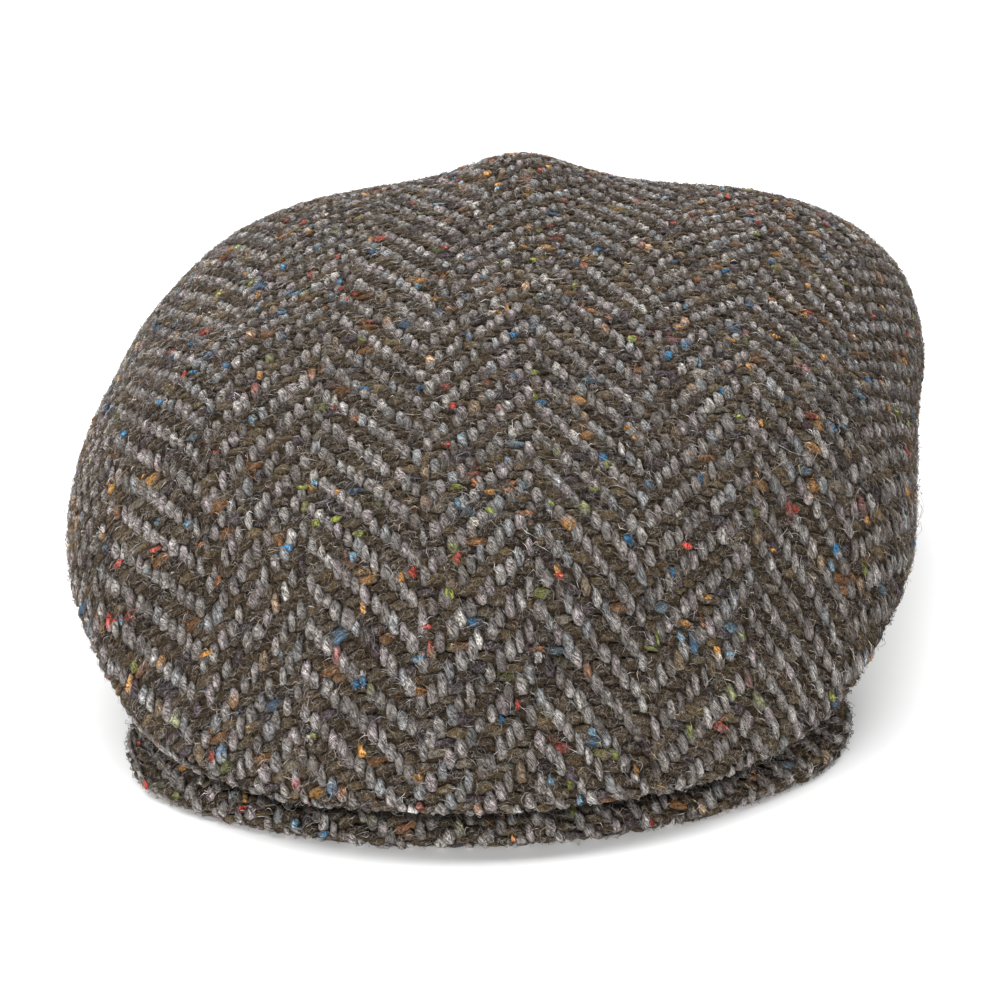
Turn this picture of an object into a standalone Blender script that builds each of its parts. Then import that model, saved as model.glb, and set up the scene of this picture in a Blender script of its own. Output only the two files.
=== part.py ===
"""A flat cap of herringbone tweed, lying on a surface as it does by itself.

The cap is three cloth pieces: a crown, a side band that stands under the crown's overhang round
the sides and back of the head, and a stiff covered peak that the crown's front edge lies on.
Metres, +Z up. The peak points along -Y. The origin is the bottom centre of the whole cap.
"""

import math

import bpy
import numpy as np

# The opening for the head, inside the cloth
HEAD_WIDTH = 0.162
HEAD_LENGTH = 0.198

# The peak: how far its lip reaches ahead of the head, its thickness, the arch of its inner edge and the
# degrees behind its tips over which the cloth above it comes down to the floor
PEAK_REACH = 0.051
PEAK_THICKNESS = 0.0042
PEAK_RISE = 0.038
PEAK_TIP_ANGLE = 55.0
PEAK_ARCH_POWER = 1.6
LIP_FLATTENED = 0.0019
BEHIND_TIP = (1.0, 7.0)

# The crown: its width, how far it hangs past the head at the back, and its heights
CROWN_WIDTH = 0.231
BACK_OVERHANG = 0.020
CROWN_HEIGHT = 0.087
EDGE_HEIGHT = 0.056
LIP_SHOWN = 0.0020

# The cloth, and the radius of the crown's fold onto the peak
CLOTH = 0.0022
FRONT_FOLD = 0.0036
FOLD_END_ANGLE = 56.0

# The side band: where it starts beside the peak, its seam as a share of the way down from the crown's
# edge, and its upright hem, which is lower where it stands on the peak. What lies lower than
# RESTS_BELOW is pressed flat.
BAND_START_ANGLE = 35.0
SEAM_SHARE = 0.42
HEM_SHARE = 0.20
HEM_HEIGHT = 0.0120
HEM_ON_PEAK = 0.0040
RESTS_BELOW = 0.0006

# Room between the peak and the cloth that lies on it, and along the seam of crown and side band
GAP = 0.0005
SEAM_GAP = 0.0007

# How the cap lies: the top swings to one side towards the back, and the peak is turned the other way
BACK_SWING = 0.021
SWING_FROM = -0.055
SWING_FULL_HEIGHT = 0.045
PEAK_TURN = 0.066
PEAK_TURN_FULL = -0.120
PEAK_TURN_END = -0.020

# Widest edge of the crown from the front round to the back: across is a share of half the crown's width,
# along a share of the reach to the front (negative) or back, and lift a share of the way from the peak
# up to EDGE_HEIGHT.
EDGE_COLUMNS = ("across", "along", "lift")
EDGE_ROWS = (
    (0.000, -1.000, 0.00),
    (0.372, -0.953, 0.00),
    (0.590, -0.865, 0.02),
    (0.730, -0.770, 0.07),
    (0.820, -0.680, 0.18),
    (0.890, -0.584, 0.33),
    (0.960, -0.434, 0.50),
    (0.994, -0.208, 0.66),
    (1.000, 0.034, 0.78),
    (0.997, 0.352, 0.87),
    (0.904, 0.686, 0.95),
    (0.655, 0.908, 1.00),
    (0.329, 0.983, 1.00),
    (0.000, 1.000, 1.00),
)

# Rings of the crown from its middle out to the widest edge. Reach is a share of the way out, and the
# other three are the height towards the front, the side and the back, as shares of the rise from the
# widest edge to the middle.
RING_COLUMNS = ("reach", "front", "side", "back")
RING_ROWS = (
    (0.00, 1.00, 1.00, 1.00),
    (0.20, 0.92, 0.98, 1.06),
    (0.40, 0.82, 0.92, 1.05),
    (0.60, 0.69, 0.83, 0.98),
    (0.70, 0.59, 0.75, 0.92),
    (0.76, 0.49, 0.69, 0.86),
    (0.81, 0.37, 0.62, 0.79),
    (0.86, 0.27, 0.53, 0.70),
    (0.91, 0.18, 0.42, 0.57),
    (0.95, 0.11, 0.30, 0.42),
    (0.98, 0.05, 0.17, 0.29),
    (1.00, 0.00, 0.00, 0.00),
)

# Azimuths in degrees between which the front profile gives way to the side's, and the side's to the
# back's, and the reach over which this mixing takes over from the dome at the middle
FRONT_TO_SIDE = (25.0, 75.0)
SIDE_TO_BACK = (85.0, 140.0)
MIDDLE_TO_RINGS = (0.15, 0.65)

# Folds of the crown: azimuth and its spread in degrees, reach and its spread as shares of the way out,
# and the lift as a share of the crown's height. A fold fades out to the widest edge.
FOLD_COLUMNS = ("azimuth", "azimuth_spread", "reach", "reach_spread", "lift")
FOLD_ROWS = (
    (-173.0, 14.0, 0.78, 0.34, 0.130),
)
FOLD_FADE_POWER = 6

# Lip of the peak from its middle to its tip: azimuth as a share of PEAK_TIP_ANGLE, reach as a share of
# the way from the head's edge there out to the reach in front, and lift as a share of the thickness.
LIP_COLUMNS = ("azimuth", "reach", "lift")
LIP_ROWS = (
    (0.00, 1.000, 0.00),
    (0.31, 1.000, 0.00),
    (0.50, 0.985, 0.05),
    (0.65, 0.940, 0.25),
    (0.78, 0.760, 0.45),
    (0.89, 0.460, 0.45),
    (1.00, 0.090, 0.30),
)

# Base colours of the three pieces' tweed
CROWN_COLOUR = (0.115, 0.100, 0.088)
BAND_COLOUR = (0.110, 0.097, 0.085)
PEAK_COLOUR = (0.105, 0.092, 0.080)

# How finely the surfaces are cut
AROUND = 72
CROWN_RINGS = 15
TUCK_RINGS = 4
BAND_ROUNDS = 58
BAND_STEPS = 8
PEAK_SECTIONS = 44
PEAK_CHORD_STEPS = 6
PEAK_EDGE_STEPS = 4
SPACING_POWER = 1.6
SMALL_STEP = 0.01


def smooth_curve(at, rows, x):
    """A cubic through the rows, whose slope at each row is that of the chord between its neighbours."""
    at = np.asarray(at, float)
    rows = np.asarray(rows, float)
    x = np.asarray(x, float)
    across = (slice(None),) + (None,) * (rows.ndim - 1)
    slope = np.empty_like(rows)
    slope[1:-1] = (rows[2:] - rows[:-2]) / (at[2:] - at[:-2])[across]
    slope[0] = (rows[1] - rows[0]) / (at[1] - at[0])
    slope[-1] = (rows[-1] - rows[-2]) / (at[-1] - at[-2])
    i = np.clip(np.searchsorted(at, x, side="right") - 1, 0, len(at) - 2)
    span = (at[i + 1] - at[i])[across]
    t = (x - at[i])[across] / span
    start = (2 * t**3 - 3 * t**2 + 1) * rows[i] + (t**3 - 2 * t**2 + t) * span * slope[i]
    end = (3 * t**2 - 2 * t**3) * rows[i + 1] + (t**3 - t**2) * span * slope[i + 1]
    return start + end


def ramp(low, high, x):
    """0 below low, 1 above high and a smooth step between them."""
    t = np.clip((x - low) / (high - low), 0, 1)
    return t * t * (3 - 2 * t)


def column(rows, columns, name):
    return np.array(rows)[:, columns.index(name)]


def within_half_turn(azimuth):
    """The same direction as an azimuth from -180 up to 180."""
    return (azimuth + 180) % 360 - 180


def head_reach(azimuth, margin):
    """Distance from the head's centre to an oval that is the opening grown by the margin."""
    angle = np.radians(azimuth)
    half_width = HEAD_WIDTH / 2 + margin
    half_length = HEAD_LENGTH / 2 + margin
    return 1 / np.hypot(np.sin(angle) / half_width, np.cos(angle) / half_length)


def lip_front():
    """Distance from the head's centre to the peak's lip."""
    return HEAD_LENGTH / 2 + PEAK_REACH


def lip_curve(azimuth):
    """Reach of the peak's lip and the lift of its underside."""
    at = column(LIP_ROWS, LIP_COLUMNS, "azimuth") * PEAK_TIP_ANGLE
    off_front = np.abs(azimuth)
    share = smooth_curve(at, column(LIP_ROWS, LIP_COLUMNS, "reach"), off_front)
    lift = smooth_curve(at, column(LIP_ROWS, LIP_COLUMNS, "lift"), off_front)
    inner = head_reach(azimuth, 0)
    return inner + share * (lip_front() - inner), lift * PEAK_THICKNESS


def peak_underside(azimuth, reach):
    """Height of the peak's underside: it climbs from the lip to an arch over the wearer's forehead."""
    lip, lift = lip_curve(azimuth)
    inward = (lip - reach) / (lip - head_reach(azimuth, 0))
    arch = np.cos(np.radians(90 * np.abs(azimuth) / PEAK_TIP_ANGLE)) ** PEAK_ARCH_POWER
    return lift - LIP_FLATTENED + PEAK_RISE * arch * inward


def above_peak(azimuth, reach):
    """Height at which cloth lies on the peak's top, which falls to the floor behind the peak's tips."""
    within = np.clip(azimuth, -PEAK_TIP_ANGLE, PEAK_TIP_ANGLE)
    lip, _ = lip_curve(within)
    top = peak_underside(within, np.minimum(reach, lip)) + PEAK_THICKNESS + GAP
    return top * (1 - ramp(*BEHIND_TIP, np.abs(azimuth) - PEAK_TIP_ANGLE))


def both_sides(turn, values, sign):
    """The rows of one side mirrored to the other, with enough repeated past the back to close smoothly."""
    angles = np.concatenate([-turn[:0:-1], turn])
    doubled = np.concatenate([sign * values[:0:-1], values])
    angles = np.concatenate([angles[-3:-1] - 360, angles, angles[1:3] + 360])
    doubled = np.concatenate([doubled[-3:-1], doubled, doubled[1:3]])
    return angles, doubled


def edge_curve(azimuth):
    """Place across and along, and height, of the crown's widest edge."""
    back = HEAD_LENGTH / 2 + BACK_OVERHANG
    across = column(EDGE_ROWS, EDGE_COLUMNS, "across") * CROWN_WIDTH / 2
    share = column(EDGE_ROWS, EDGE_COLUMNS, "along")
    along = share * np.where(share < 0, lip_front() - LIP_SHOWN, back)
    lift = column(EDGE_ROWS, EDGE_COLUMNS, "lift")
    turn = np.degrees(np.arctan2(across, -along))
    x = smooth_curve(*both_sides(turn, across, -1), azimuth)
    y = smooth_curve(*both_sides(turn, along, 1), azimuth)
    rise = np.clip(smooth_curve(*both_sides(turn, lift, 1), azimuth), 0, None)
    over_peak = np.clip(azimuth, -FOLD_END_ANGLE, FOLD_END_ANGLE)
    front = above_peak(over_peak, np.hypot(x, y) - FRONT_FOLD) + FRONT_FOLD
    return x, y, front + (EDGE_HEIGHT - front) * rise


def profile_heights(azimuth):
    """Height of the crown at each of RING_ROWS, its three profiles mixed by azimuth.

    Near the middle the shares of front and back are c(c + 1)/2 and c(c - 1)/2, where c is the azimuth's
    cosine, which makes the middle a smooth dome. Further out they keep to FRONT_TO_SIDE and SIDE_TO_BACK.
    """
    reach, front, side, back = (column(RING_ROWS, RING_COLUMNS, name)[:, None] for name in RING_COLUMNS)
    outer = ramp(*MIDDLE_TO_RINGS, reach)
    forward = np.cos(np.radians(azimuth))
    domed_front = forward * (forward + 1) / 2
    domed_back = forward * (forward - 1) / 2
    to_front = (1 - outer) * domed_front + outer * (1 - ramp(*FRONT_TO_SIDE, np.abs(azimuth)))
    to_back = (1 - outer) * domed_back + outer * ramp(*SIDE_TO_BACK, np.abs(azimuth))
    profile = to_front * front + to_back * back + (1 - to_front - to_back) * side
    _, _, (front_edge, side_edge, back_edge) = edge_curve(np.array([0.0, 90.0, 180.0]))
    domed_edge = side_edge + domed_front * (front_edge - side_edge) + domed_back * (back_edge - side_edge)
    _, _, edge = edge_curve(azimuth)
    edge = domed_edge + outer * (edge - domed_edge)
    return edge + (CROWN_HEIGHT - edge) * profile


def crown_top(azimuth, ring):
    """The crown's outer surface, for every azimuth at every ring from 0 at the middle to 1 at the edge.

    A point is the widest edge drawn in by the ring's reach. Its height comes from the profiles, each of
    which runs on through the middle into the opposite one, and the folds are laid over it.
    """
    step = 1 / (len(RING_ROWS) - 1)
    at = np.linspace(-step, 1, len(RING_ROWS) + 1)
    shares = column(RING_ROWS, RING_COLUMNS, "reach")
    reach = smooth_curve(at, np.concatenate([-shares[1:2], shares]), ring)[:, None]
    opposite = profile_heights(within_half_turn(azimuth + 180))[1:2]
    z = smooth_curve(at, np.concatenate([opposite, profile_heights(azimuth)]), ring)
    for row in FOLD_ROWS:
        fold = dict(zip(FOLD_COLUMNS, row))
        beside = within_half_turn(azimuth - fold["azimuth"]) / fold["azimuth_spread"]
        outward = (reach - fold["reach"]) / fold["reach_spread"]
        shape = np.exp(-(beside**2) - outward**2) * (1 - reach**FOLD_FADE_POWER)
        z = z + fold["lift"] * CROWN_HEIGHT * shape
    x, y, _ = edge_curve(azimuth)
    return reach * x, reach * y, z


def side_wall(azimuth, down):
    """The outer surface from the crown's widest edge (down 0) to the surface it stands on (down 1).

    It leaves the edge straight down, draws in to the head's oval, and ends in an upright hem. Over the
    peak's tips it lies on the peak and its hem stands on the peak's inner edge.
    """
    x, y, edge = edge_curve(azimuth)
    reach = np.hypot(x, y)
    rim = head_reach(azimuth, CLOTH)
    foot = above_peak(azimuth, rim)
    hem = HEM_HEIGHT + (HEM_ON_PEAK - HEM_HEIGHT) * np.clip(foot / PEAK_THICKNESS, 0, 1)
    sloping = np.clip(down / (1 - HEM_SHARE), 0, 1)
    upright = np.clip((down - 1 + HEM_SHARE) / HEM_SHARE, 0, 1)
    drawn_in = rim + (reach - rim) * (1 - ramp(0, 1, sloping))
    z = edge + (foot + hem - edge) * sloping - hem * upright
    z = np.maximum(z, above_peak(azimuth, drawn_in))
    return x / reach * drawn_in, y / reach * drawn_in, z


def crown_tuck(azimuth, turned):
    """The crown past its widest edge: a fold onto the peak in front, and the wall's top elsewhere."""
    x, y, edge = edge_curve(azimuth)
    reach = np.hypot(x, y)
    angle = turned * math.pi / 2
    folded = 1 - FRONT_FOLD * (1 - np.cos(angle)) / reach
    front = (x * folded, y * folded, edge - FRONT_FOLD * np.sin(angle))
    side = side_wall(azimuth, turned * SEAM_SHARE)
    on_side = ramp(BAND_START_ANGLE, FOLD_END_ANGLE, np.abs(azimuth))
    return tuple(on_side * s + (1 - on_side) * f for s, f in zip(side, front))


def band_wall(azimuth, down):
    """The side band, from just under the crown's rim (down 0) to the hem (down 1).

    It leaves the crown's rim in the rim's own direction and eases into the side wall.
    """
    before_rim = np.array([[1 - SMALL_STEP], [1]])
    rim = crown_tuck(azimuth, before_rim)
    plain = side_wall(azimuth, SEAM_SHARE * before_rim)
    stretch = (1 - SEAM_SHARE) / SEAM_SHARE / SMALL_STEP
    speed = stretch * np.sqrt(sum((r[1] - r[0]) ** 2 for r in rim))
    down = SEAM_GAP / speed + (1 - SEAM_GAP / speed) * down
    wall = side_wall(azimuth, SEAM_SHARE + (1 - SEAM_SHARE) * down)
    placed = (1 - down) ** 2 * (1 + 2 * down)
    turned = (1 - down) ** 2 * down * stretch
    x, y, z = (
        w + placed * (r[1] - p[1]) + turned * ((r[1] - r[0]) - (p[1] - p[0]))
        for w, r, p in zip(wall, rim, plain)
    )
    return x, y, np.maximum(z, above_peak(azimuth, np.hypot(x, y)))


def lie(x, y, z):
    """The cap as it lies, with the top swung aside and the peak turned."""
    towards_back = ramp(SWING_FROM, HEAD_LENGTH / 2 + BACK_OVERHANG, y)
    swing = BACK_SWING * towards_back * ramp(0, SWING_FULL_HEIGHT, z)
    forward = 1 - ramp(PEAK_TURN_FULL, PEAK_TURN_END, y)
    return np.stack([x + swing, y + PEAK_TURN * x * forward, z], axis=-1)


def closer_to_start(steps):
    """Shares from 0 to 1, closer together at the start."""
    return np.linspace(0, 1, steps + 1)[:, None] ** SPACING_POWER


def grid_faces(rows, around, closed):
    """Quads of a grid of points in rows, joined end to start where closed."""
    spans = around if closed else around - 1
    i, j = np.meshgrid(np.arange(rows - 1), np.arange(spans), indexing="ij")
    after = (j + 1) % around
    corners = [i * around + j, i * around + after, (i + 1) * around + after, (i + 1) * around + j]
    return np.stack(corners, axis=-1).reshape(-1, 4)


def mesh_object(name, points, faces, material):
    """A smooth-shaded object of one mesh and one material."""
    mesh = bpy.data.meshes.new(name)
    mesh.from_pydata(points.reshape(-1, 3).tolist(), [], [list(face) for face in faces])
    mesh.materials.append(material)
    mesh.shade_smooth()
    mesh.update()
    made = bpy.data.objects.new(name, mesh)
    bpy.context.scene.collection.objects.link(made)
    return made


def give_thickness(made):
    """The outer surface gets its cloth thickness inwards, and a hem that rests is flattened."""
    wall = made.modifiers.new("cloth", "SOLIDIFY")
    wall.thickness = CLOTH
    wall.offset = -1
    wall.use_rim = True
    bpy.context.view_layer.update()
    solid = bpy.data.meshes.new_from_object(made.evaluated_get(bpy.context.evaluated_depsgraph_get()))
    made.modifiers.remove(wall)
    made.data = solid
    for vertex in solid.vertices:
        if vertex.co.z < RESTS_BELOW:
            vertex.co.z = 0


def cloth_material(name, colour):
    material = bpy.data.materials.new(name)
    material.use_nodes = True
    shader = material.node_tree.nodes["Principled BSDF"]
    shader.inputs["Base Color"].default_value = (*colour, 1)
    shader.inputs["Roughness"].default_value = 0.95
    shader.inputs["Metallic"].default_value = 0.0
    return material


def build_crown(origin):
    azimuth = np.linspace(-180, 180, AROUND, endpoint=False)
    top = lie(*crown_top(azimuth, np.linspace(0, 1, CROWN_RINGS + 1)))
    tuck = lie(*crown_tuck(azimuth, 1 - closer_to_start(TUCK_RINGS)[-2::-1]))
    rings = np.concatenate([top[1:], tuck])
    middle = top[:1, 0]
    faces = [list(face) for face in grid_faces(len(rings), AROUND, True)[:, ::-1]]
    faces += [[j, (j + 1) % AROUND, len(rings) * AROUND] for j in range(AROUND)]
    points = np.concatenate([rings.reshape(-1, 3), middle]) - origin
    give_thickness(mesh_object("crown", points, faces, cloth_material("crown_tweed", CROWN_COLOUR)))


def build_side_band(origin):
    azimuth = np.linspace(BAND_START_ANGLE, 360 - BAND_START_ANGLE, BAND_ROUNDS + 1)
    rows = lie(*band_wall(within_half_turn(azimuth), closer_to_start(BAND_STEPS)))
    faces = grid_faces(BAND_STEPS + 1, BAND_ROUNDS + 1, False)[:, ::-1]
    tweed = cloth_material("side_band_tweed", BAND_COLOUR)
    give_thickness(mesh_object("side_band", rows - origin, faces, tweed))


def build_peak(origin):
    """Closed sections across the peak, from one tip to the other: rounded at the lip, square inside."""
    azimuth = np.linspace(-PEAK_TIP_ANGLE, PEAK_TIP_ANGLE, PEAK_SECTIONS + 1)
    lip, _ = lip_curve(azimuth)
    radius = PEAK_THICKNESS / 2
    outer = lip - radius
    inward = np.linspace(0, 1, PEAK_CHORD_STEPS + 1)[:, None]
    chord = outer + (head_reach(azimuth, 0) - outer) * inward
    turn = np.radians(np.linspace(-90, 90, PEAK_EDGE_STEPS + 1))[1:-1, None]
    reach = np.concatenate([chord[::-1], outer + radius * np.cos(turn), chord])
    below = peak_underside(azimuth, chord)
    round_lip = peak_underside(azimuth, outer) + radius * (1 + np.sin(turn))
    height = np.concatenate([below[::-1], round_lip, below + PEAK_THICKNESS])
    angle = np.radians(azimuth)
    sections = lie(reach * np.sin(angle), -reach * np.cos(angle), np.clip(height, 0, None))
    points = np.swapaxes(sections, 0, 1)
    count = len(reach)
    faces = [list(face) for face in grid_faces(len(azimuth), count, True)[:, ::-1]]
    for first, way in ((0, 1), (len(azimuth) * count - count, -1)):
        for i in range(PEAK_CHORD_STEPS):
            corners = [first + i, first + i + 1, first + count - 2 - i, first + count - 1 - i]
            faces.append(corners[::way])
        lip_end = range(first + PEAK_CHORD_STEPS, first + count - PEAK_CHORD_STEPS)
        faces.append(list(lip_end)[::way])
    mesh_object("peak", points - origin, faces, cloth_material("peak_tweed", PEAK_COLOUR))


def bottom_centre():
    """The middle of the whole cap as it lies, at the height of the surface below it."""
    edge = lie(*edge_curve(np.linspace(-180, 180, AROUND, endpoint=False)))
    azimuth = np.linspace(-PEAK_TIP_ANGLE, PEAK_TIP_ANGLE, PEAK_SECTIONS + 1)
    lip, lift = lip_curve(azimuth)
    angle = np.radians(azimuth)
    outline = np.concatenate([edge, lie(lip * np.sin(angle), -lip * np.cos(angle), lift)])
    middle = (outline.min(axis=0) + outline.max(axis=0)) / 2
    return middle * [1, 1, 0]


def clear_scene():
    for old in list(bpy.data.objects):
        bpy.data.objects.remove(old, do_unlink=True)


def main():
    clear_scene()
    origin = bottom_centre()
    build_crown(origin)
    build_side_band(origin)
    build_peak(origin)


main()
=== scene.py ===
"""A flat cap of herringbone tweed, woven yarn by yarn round its CAD frame.

The cap lies on a pale studio floor. Its cloth is a dark ground sheet, its darkness partly painted shade
of the gaps, on which the warp and weft yarns rise where they cross over each other, with coloured flecks
and loose curled fibres on top. Metres, +Z up, and the peak points along -Y. The file is laid out as an
add-on and is run as a script.
"""

import math
from types import SimpleNamespace

import bpy
import numpy as np
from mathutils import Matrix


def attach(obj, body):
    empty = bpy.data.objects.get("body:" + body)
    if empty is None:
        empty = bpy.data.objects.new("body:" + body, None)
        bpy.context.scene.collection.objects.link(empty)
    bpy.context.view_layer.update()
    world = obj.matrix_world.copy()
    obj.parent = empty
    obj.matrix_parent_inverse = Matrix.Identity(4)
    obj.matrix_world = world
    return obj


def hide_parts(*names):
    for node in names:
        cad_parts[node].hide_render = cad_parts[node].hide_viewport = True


bl_info = {
    "name": "Herringbone flat cap",
    "version": (1, 0, 0),
    "blender": (4, 5, 0),
    "location": "View3D > Sidebar > Cap",
    "description": "Weaves a flat cap's tweed on the cap's CAD frame and sets it on a studio floor",
    "category": "Object",
}

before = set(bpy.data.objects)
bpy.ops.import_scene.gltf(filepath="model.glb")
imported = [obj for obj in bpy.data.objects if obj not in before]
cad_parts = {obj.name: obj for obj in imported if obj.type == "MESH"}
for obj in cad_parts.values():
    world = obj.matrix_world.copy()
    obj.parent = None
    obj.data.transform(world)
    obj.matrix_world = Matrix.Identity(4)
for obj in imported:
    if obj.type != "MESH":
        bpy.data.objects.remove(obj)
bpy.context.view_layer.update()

# The opening for the head
HEAD_WIDTH = 0.162
HEAD_LENGTH = 0.198

# The peak: reach of its lip ahead of the head, thickness, arch of its inner edge, and the degrees
# behind its tips over which the cloth above it comes down to the floor
PEAK_REACH = 0.051
PEAK_THICKNESS = 0.0042
PEAK_RISE = 0.038
PEAK_TIP_ANGLE = 55.0
PEAK_ARCH_POWER = 1.6
LIP_FLATTENED = 0.0019
BEHIND_TIP = (1.0, 7.0)

# The crown
CROWN_WIDTH = 0.231
BACK_OVERHANG = 0.020
CROWN_HEIGHT = 0.087
EDGE_HEIGHT = 0.056
LIP_SHOWN = 0.0020

# The cloth, and the crown's fold onto the peak
CLOTH = 0.0022
FRONT_FOLD = 0.0036
FOLD_END_ANGLE = 56.0

# The side band and its hem
BAND_START_ANGLE = 35.0
SEAM_SHARE = 0.42
HEM_SHARE = 0.20
HEM_HEIGHT = 0.0120
HEM_ON_PEAK = 0.0040

# Room between pieces that touch
GAP = 0.0005
SEAM_GAP = 0.0007
SMALL_STEP = 0.01

# How the cap lies
BACK_SWING = 0.021
SWING_FROM = -0.055
SWING_FULL_HEIGHT = 0.045
PEAK_TURN = 0.066
PEAK_TURN_FULL = -0.120
PEAK_TURN_END = -0.020

# Widest edge of the crown from the front round to the back
EDGE_COLUMNS = ("across", "along", "lift")
EDGE_ROWS = (
    (0.000, -1.000, 0.00),
    (0.372, -0.953, 0.00),
    (0.590, -0.865, 0.02),
    (0.730, -0.770, 0.07),
    (0.820, -0.680, 0.18),
    (0.890, -0.584, 0.33),
    (0.960, -0.434, 0.50),
    (0.994, -0.208, 0.66),
    (1.000, 0.034, 0.78),
    (0.997, 0.352, 0.87),
    (0.904, 0.686, 0.95),
    (0.655, 0.908, 1.00),
    (0.329, 0.983, 1.00),
    (0.000, 1.000, 1.00),
)

# Rings of the crown from its middle out to the widest edge
RING_COLUMNS = ("reach", "front", "side", "back")
RING_ROWS = (
    (0.00, 1.00, 1.00, 1.00),
    (0.20, 0.92, 0.98, 1.06),
    (0.40, 0.82, 0.92, 1.05),
    (0.60, 0.69, 0.83, 0.98),
    (0.70, 0.59, 0.75, 0.92),
    (0.76, 0.49, 0.69, 0.86),
    (0.81, 0.37, 0.62, 0.79),
    (0.86, 0.27, 0.53, 0.70),
    (0.91, 0.18, 0.42, 0.57),
    (0.95, 0.11, 0.30, 0.42),
    (0.98, 0.05, 0.17, 0.29),
    (1.00, 0.00, 0.00, 0.00),
)
FRONT_TO_SIDE = (25.0, 75.0)
SIDE_TO_BACK = (85.0, 140.0)
MIDDLE_TO_RINGS = (0.15, 0.65)

# Folds of the crown
FOLD_COLUMNS = ("azimuth", "azimuth_spread", "reach", "reach_spread", "lift")
FOLD_ROWS = (
    (-173.0, 14.0, 0.78, 0.34, 0.130),
)
FOLD_FADE_POWER = 6

# Lip of the peak from its middle to its tip
LIP_COLUMNS = ("azimuth", "reach", "lift")
LIP_ROWS = (
    (0.00, 1.000, 0.00),
    (0.31, 1.000, 0.00),
    (0.50, 0.985, 0.05),
    (0.65, 0.940, 0.25),
    (0.78, 0.760, 0.45),
    (0.89, 0.460, 0.45),
    (1.00, 0.090, 0.30),
)

# Columns round the CAD's crown, and sections across its peak
AROUND = 72
PEAK_SECTIONS = 44

# The herringbone: picks in one repeat, and how many of them a yarn passes over
REPEAT = 4
FLOAT = 2

# The bed under the yarns: its depth below the cloth's surface, its thickness, and how far the crown
# presses the peak's in, which ends over a span about the inner end of the crown's fold
BED_DEPTH = 0.0008
BED_THICKNESS = 0.0012
PEAK_BED_THICKNESS = 0.0009
PEAK_PRESSED = 0.0005
PRESSED_SPAN = (-0.004, 0.0005)
ABOVE_FLOOR = 0.0001

# Points down a column of the crown's top, of its turned-under part, of the side band and of the peak,
# and round the peak's lip
TOP_POINTS = 180
TUCK_POINTS = 50
BAND_POINTS = 60
CHORD_POINTS = 60
LIP_POINTS = 19

# Columns and rings of the beds, and columns of the surfaces on which threads are traced
CROWN_BED = (180, 48)
BAND_BED_RINGS = 14
PEAK_BED = (91, 59)
CROWN_COLUMNS = 361
BAND_COLUMNS = 291
PEAK_COLUMNS = 221

# How threads are traced: half the side of the unrolled plane, the step down a column, how far columns
# run on past their last point, the offset of a herringbone point from the crown's middle, the least
# stretch that a step is divided by, and the number and size of the steps
CROWN_SPAN = 0.195
PEAK_SPAN = 0.215
FINE_STEP = 0.0005
PAST_LAST_POINT = 0.06
PAST_HEM = 0.004
CROWN_SHIFT = 0.0105
LEAST_STRETCH = 0.3
UNROLL_STEPS = 40
UNROLL_EASE = 0.6

# Cut edges: how far inside them yarns are kept, how far beyond them a yarn may reach before it is moved
# back, the least slope that the move is divided by, how far beyond them a moved place has missed, and
# the width and depth of their roll, and the painted shade on the yarns in the roll
EDGE_MARGIN = 0.0002
EDGE_BEYOND = 0.006
LEAST_SLOPE = 0.25
EDGE_MISSED = 0.001
EDGE_ROLL = 0.0026
EDGE_SINK = 0.0011
EDGE_PAINTED_SHADE = 0.3

# Least length that a vector is divided by
TINY = 1e-12

# Reach of the painted shade in the crease beside the crown's rim, above it and below, and the painted
# shade itself
CREASE_ABOVE = 0.0011
CREASE_BELOW = 0.0034
PAINTED_CREASE_SHADE = (0.28, 1.0, 0.12, 0.85)

# Yarns: powers that shape a tuft, how its rings crowd at its ends, how far its ends sink, its lean, its
# taper, the spread of its tips, and the wave in which the yarns wander
TUFT_POWERS = (2.4, 0.6)
RING_CROWDING = 1.45
YARN_DROP = 0.0005
YARN_LEAN = 0.11
YARN_TAPER = 0.2
TIP_SPREAD = 0.3
WANDER_HEIGHT = 0.0003
WANDER_TURN = 290.0

# Spread of the yarns' widths, lengths, heights and shades, within a yarn too, and the painted shade
# towards its ends, where it sinks under the crossing yarn
WIDTH_SPREAD = 0.13
LENGTH_SPREAD = 0.11
HEIGHT_SPREAD = 0.14
SHADE_SPREAD = 0.18
YARN_UNEVEN = 0.25
ENDS_PAINTED_SHADE = 0.3

# Coloured nubs: strength, middle and half length as shares of the yarn, how they fade, and the spread
# of their shades
NUB_STRENGTH = (0.5, 1.0)
NUB_MIDDLE = (-0.7, 0.7)
NUB_LENGTH = (0.4, 0.9)
NUB_FADE = 1.4
DYE_SPREAD = 0.25

# Streaks of the wool: their turn from the yarn's direction in radians, how far each yarn's are shifted,
# the strand coordinate's units in a metre, and how much a yarn's ends count as its flank
TWIST = 0.62
TWIST_SPREAD = 0.17
STRAND_SHIFT = 0.4
STRAND_UNIT = 1000
END_SHARE = 0.55

# Fibres: spread of their turn, their starts across and along a yarn and their shades, strength, turns
# and start of their waves, spans of their thickness and height, how deep their ends lie, and how far
# inside the cut edge and turned from the floor they are
FIBRE_TURN_SPREAD = 0.85
FIBRE_START_SPREAD = 0.58
FIBRE_START_SPAN = (-1.15, 0.15)
FIBRE_SPREAD = 0.45
STRAY_SPREAD = 0.4
LOOSE_SPREAD = 0.3
WAVE_STRENGTH = (0.2, 1)
WAVE_TURN = (3, 9)
WAVE_START = (0, 6.3)
FIBRE_THICKNESS = (0.7, 1.3)
THINNEST = 0.01
LIFT_EVENNESS = 1.5
RISE_SPREAD = 0.25
FIBRE_MARGIN = 0.0005
TUCKED_IN = -0.0003
FACES_FLOOR = -0.6
SCATTER_MARGIN = 0.001

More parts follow.
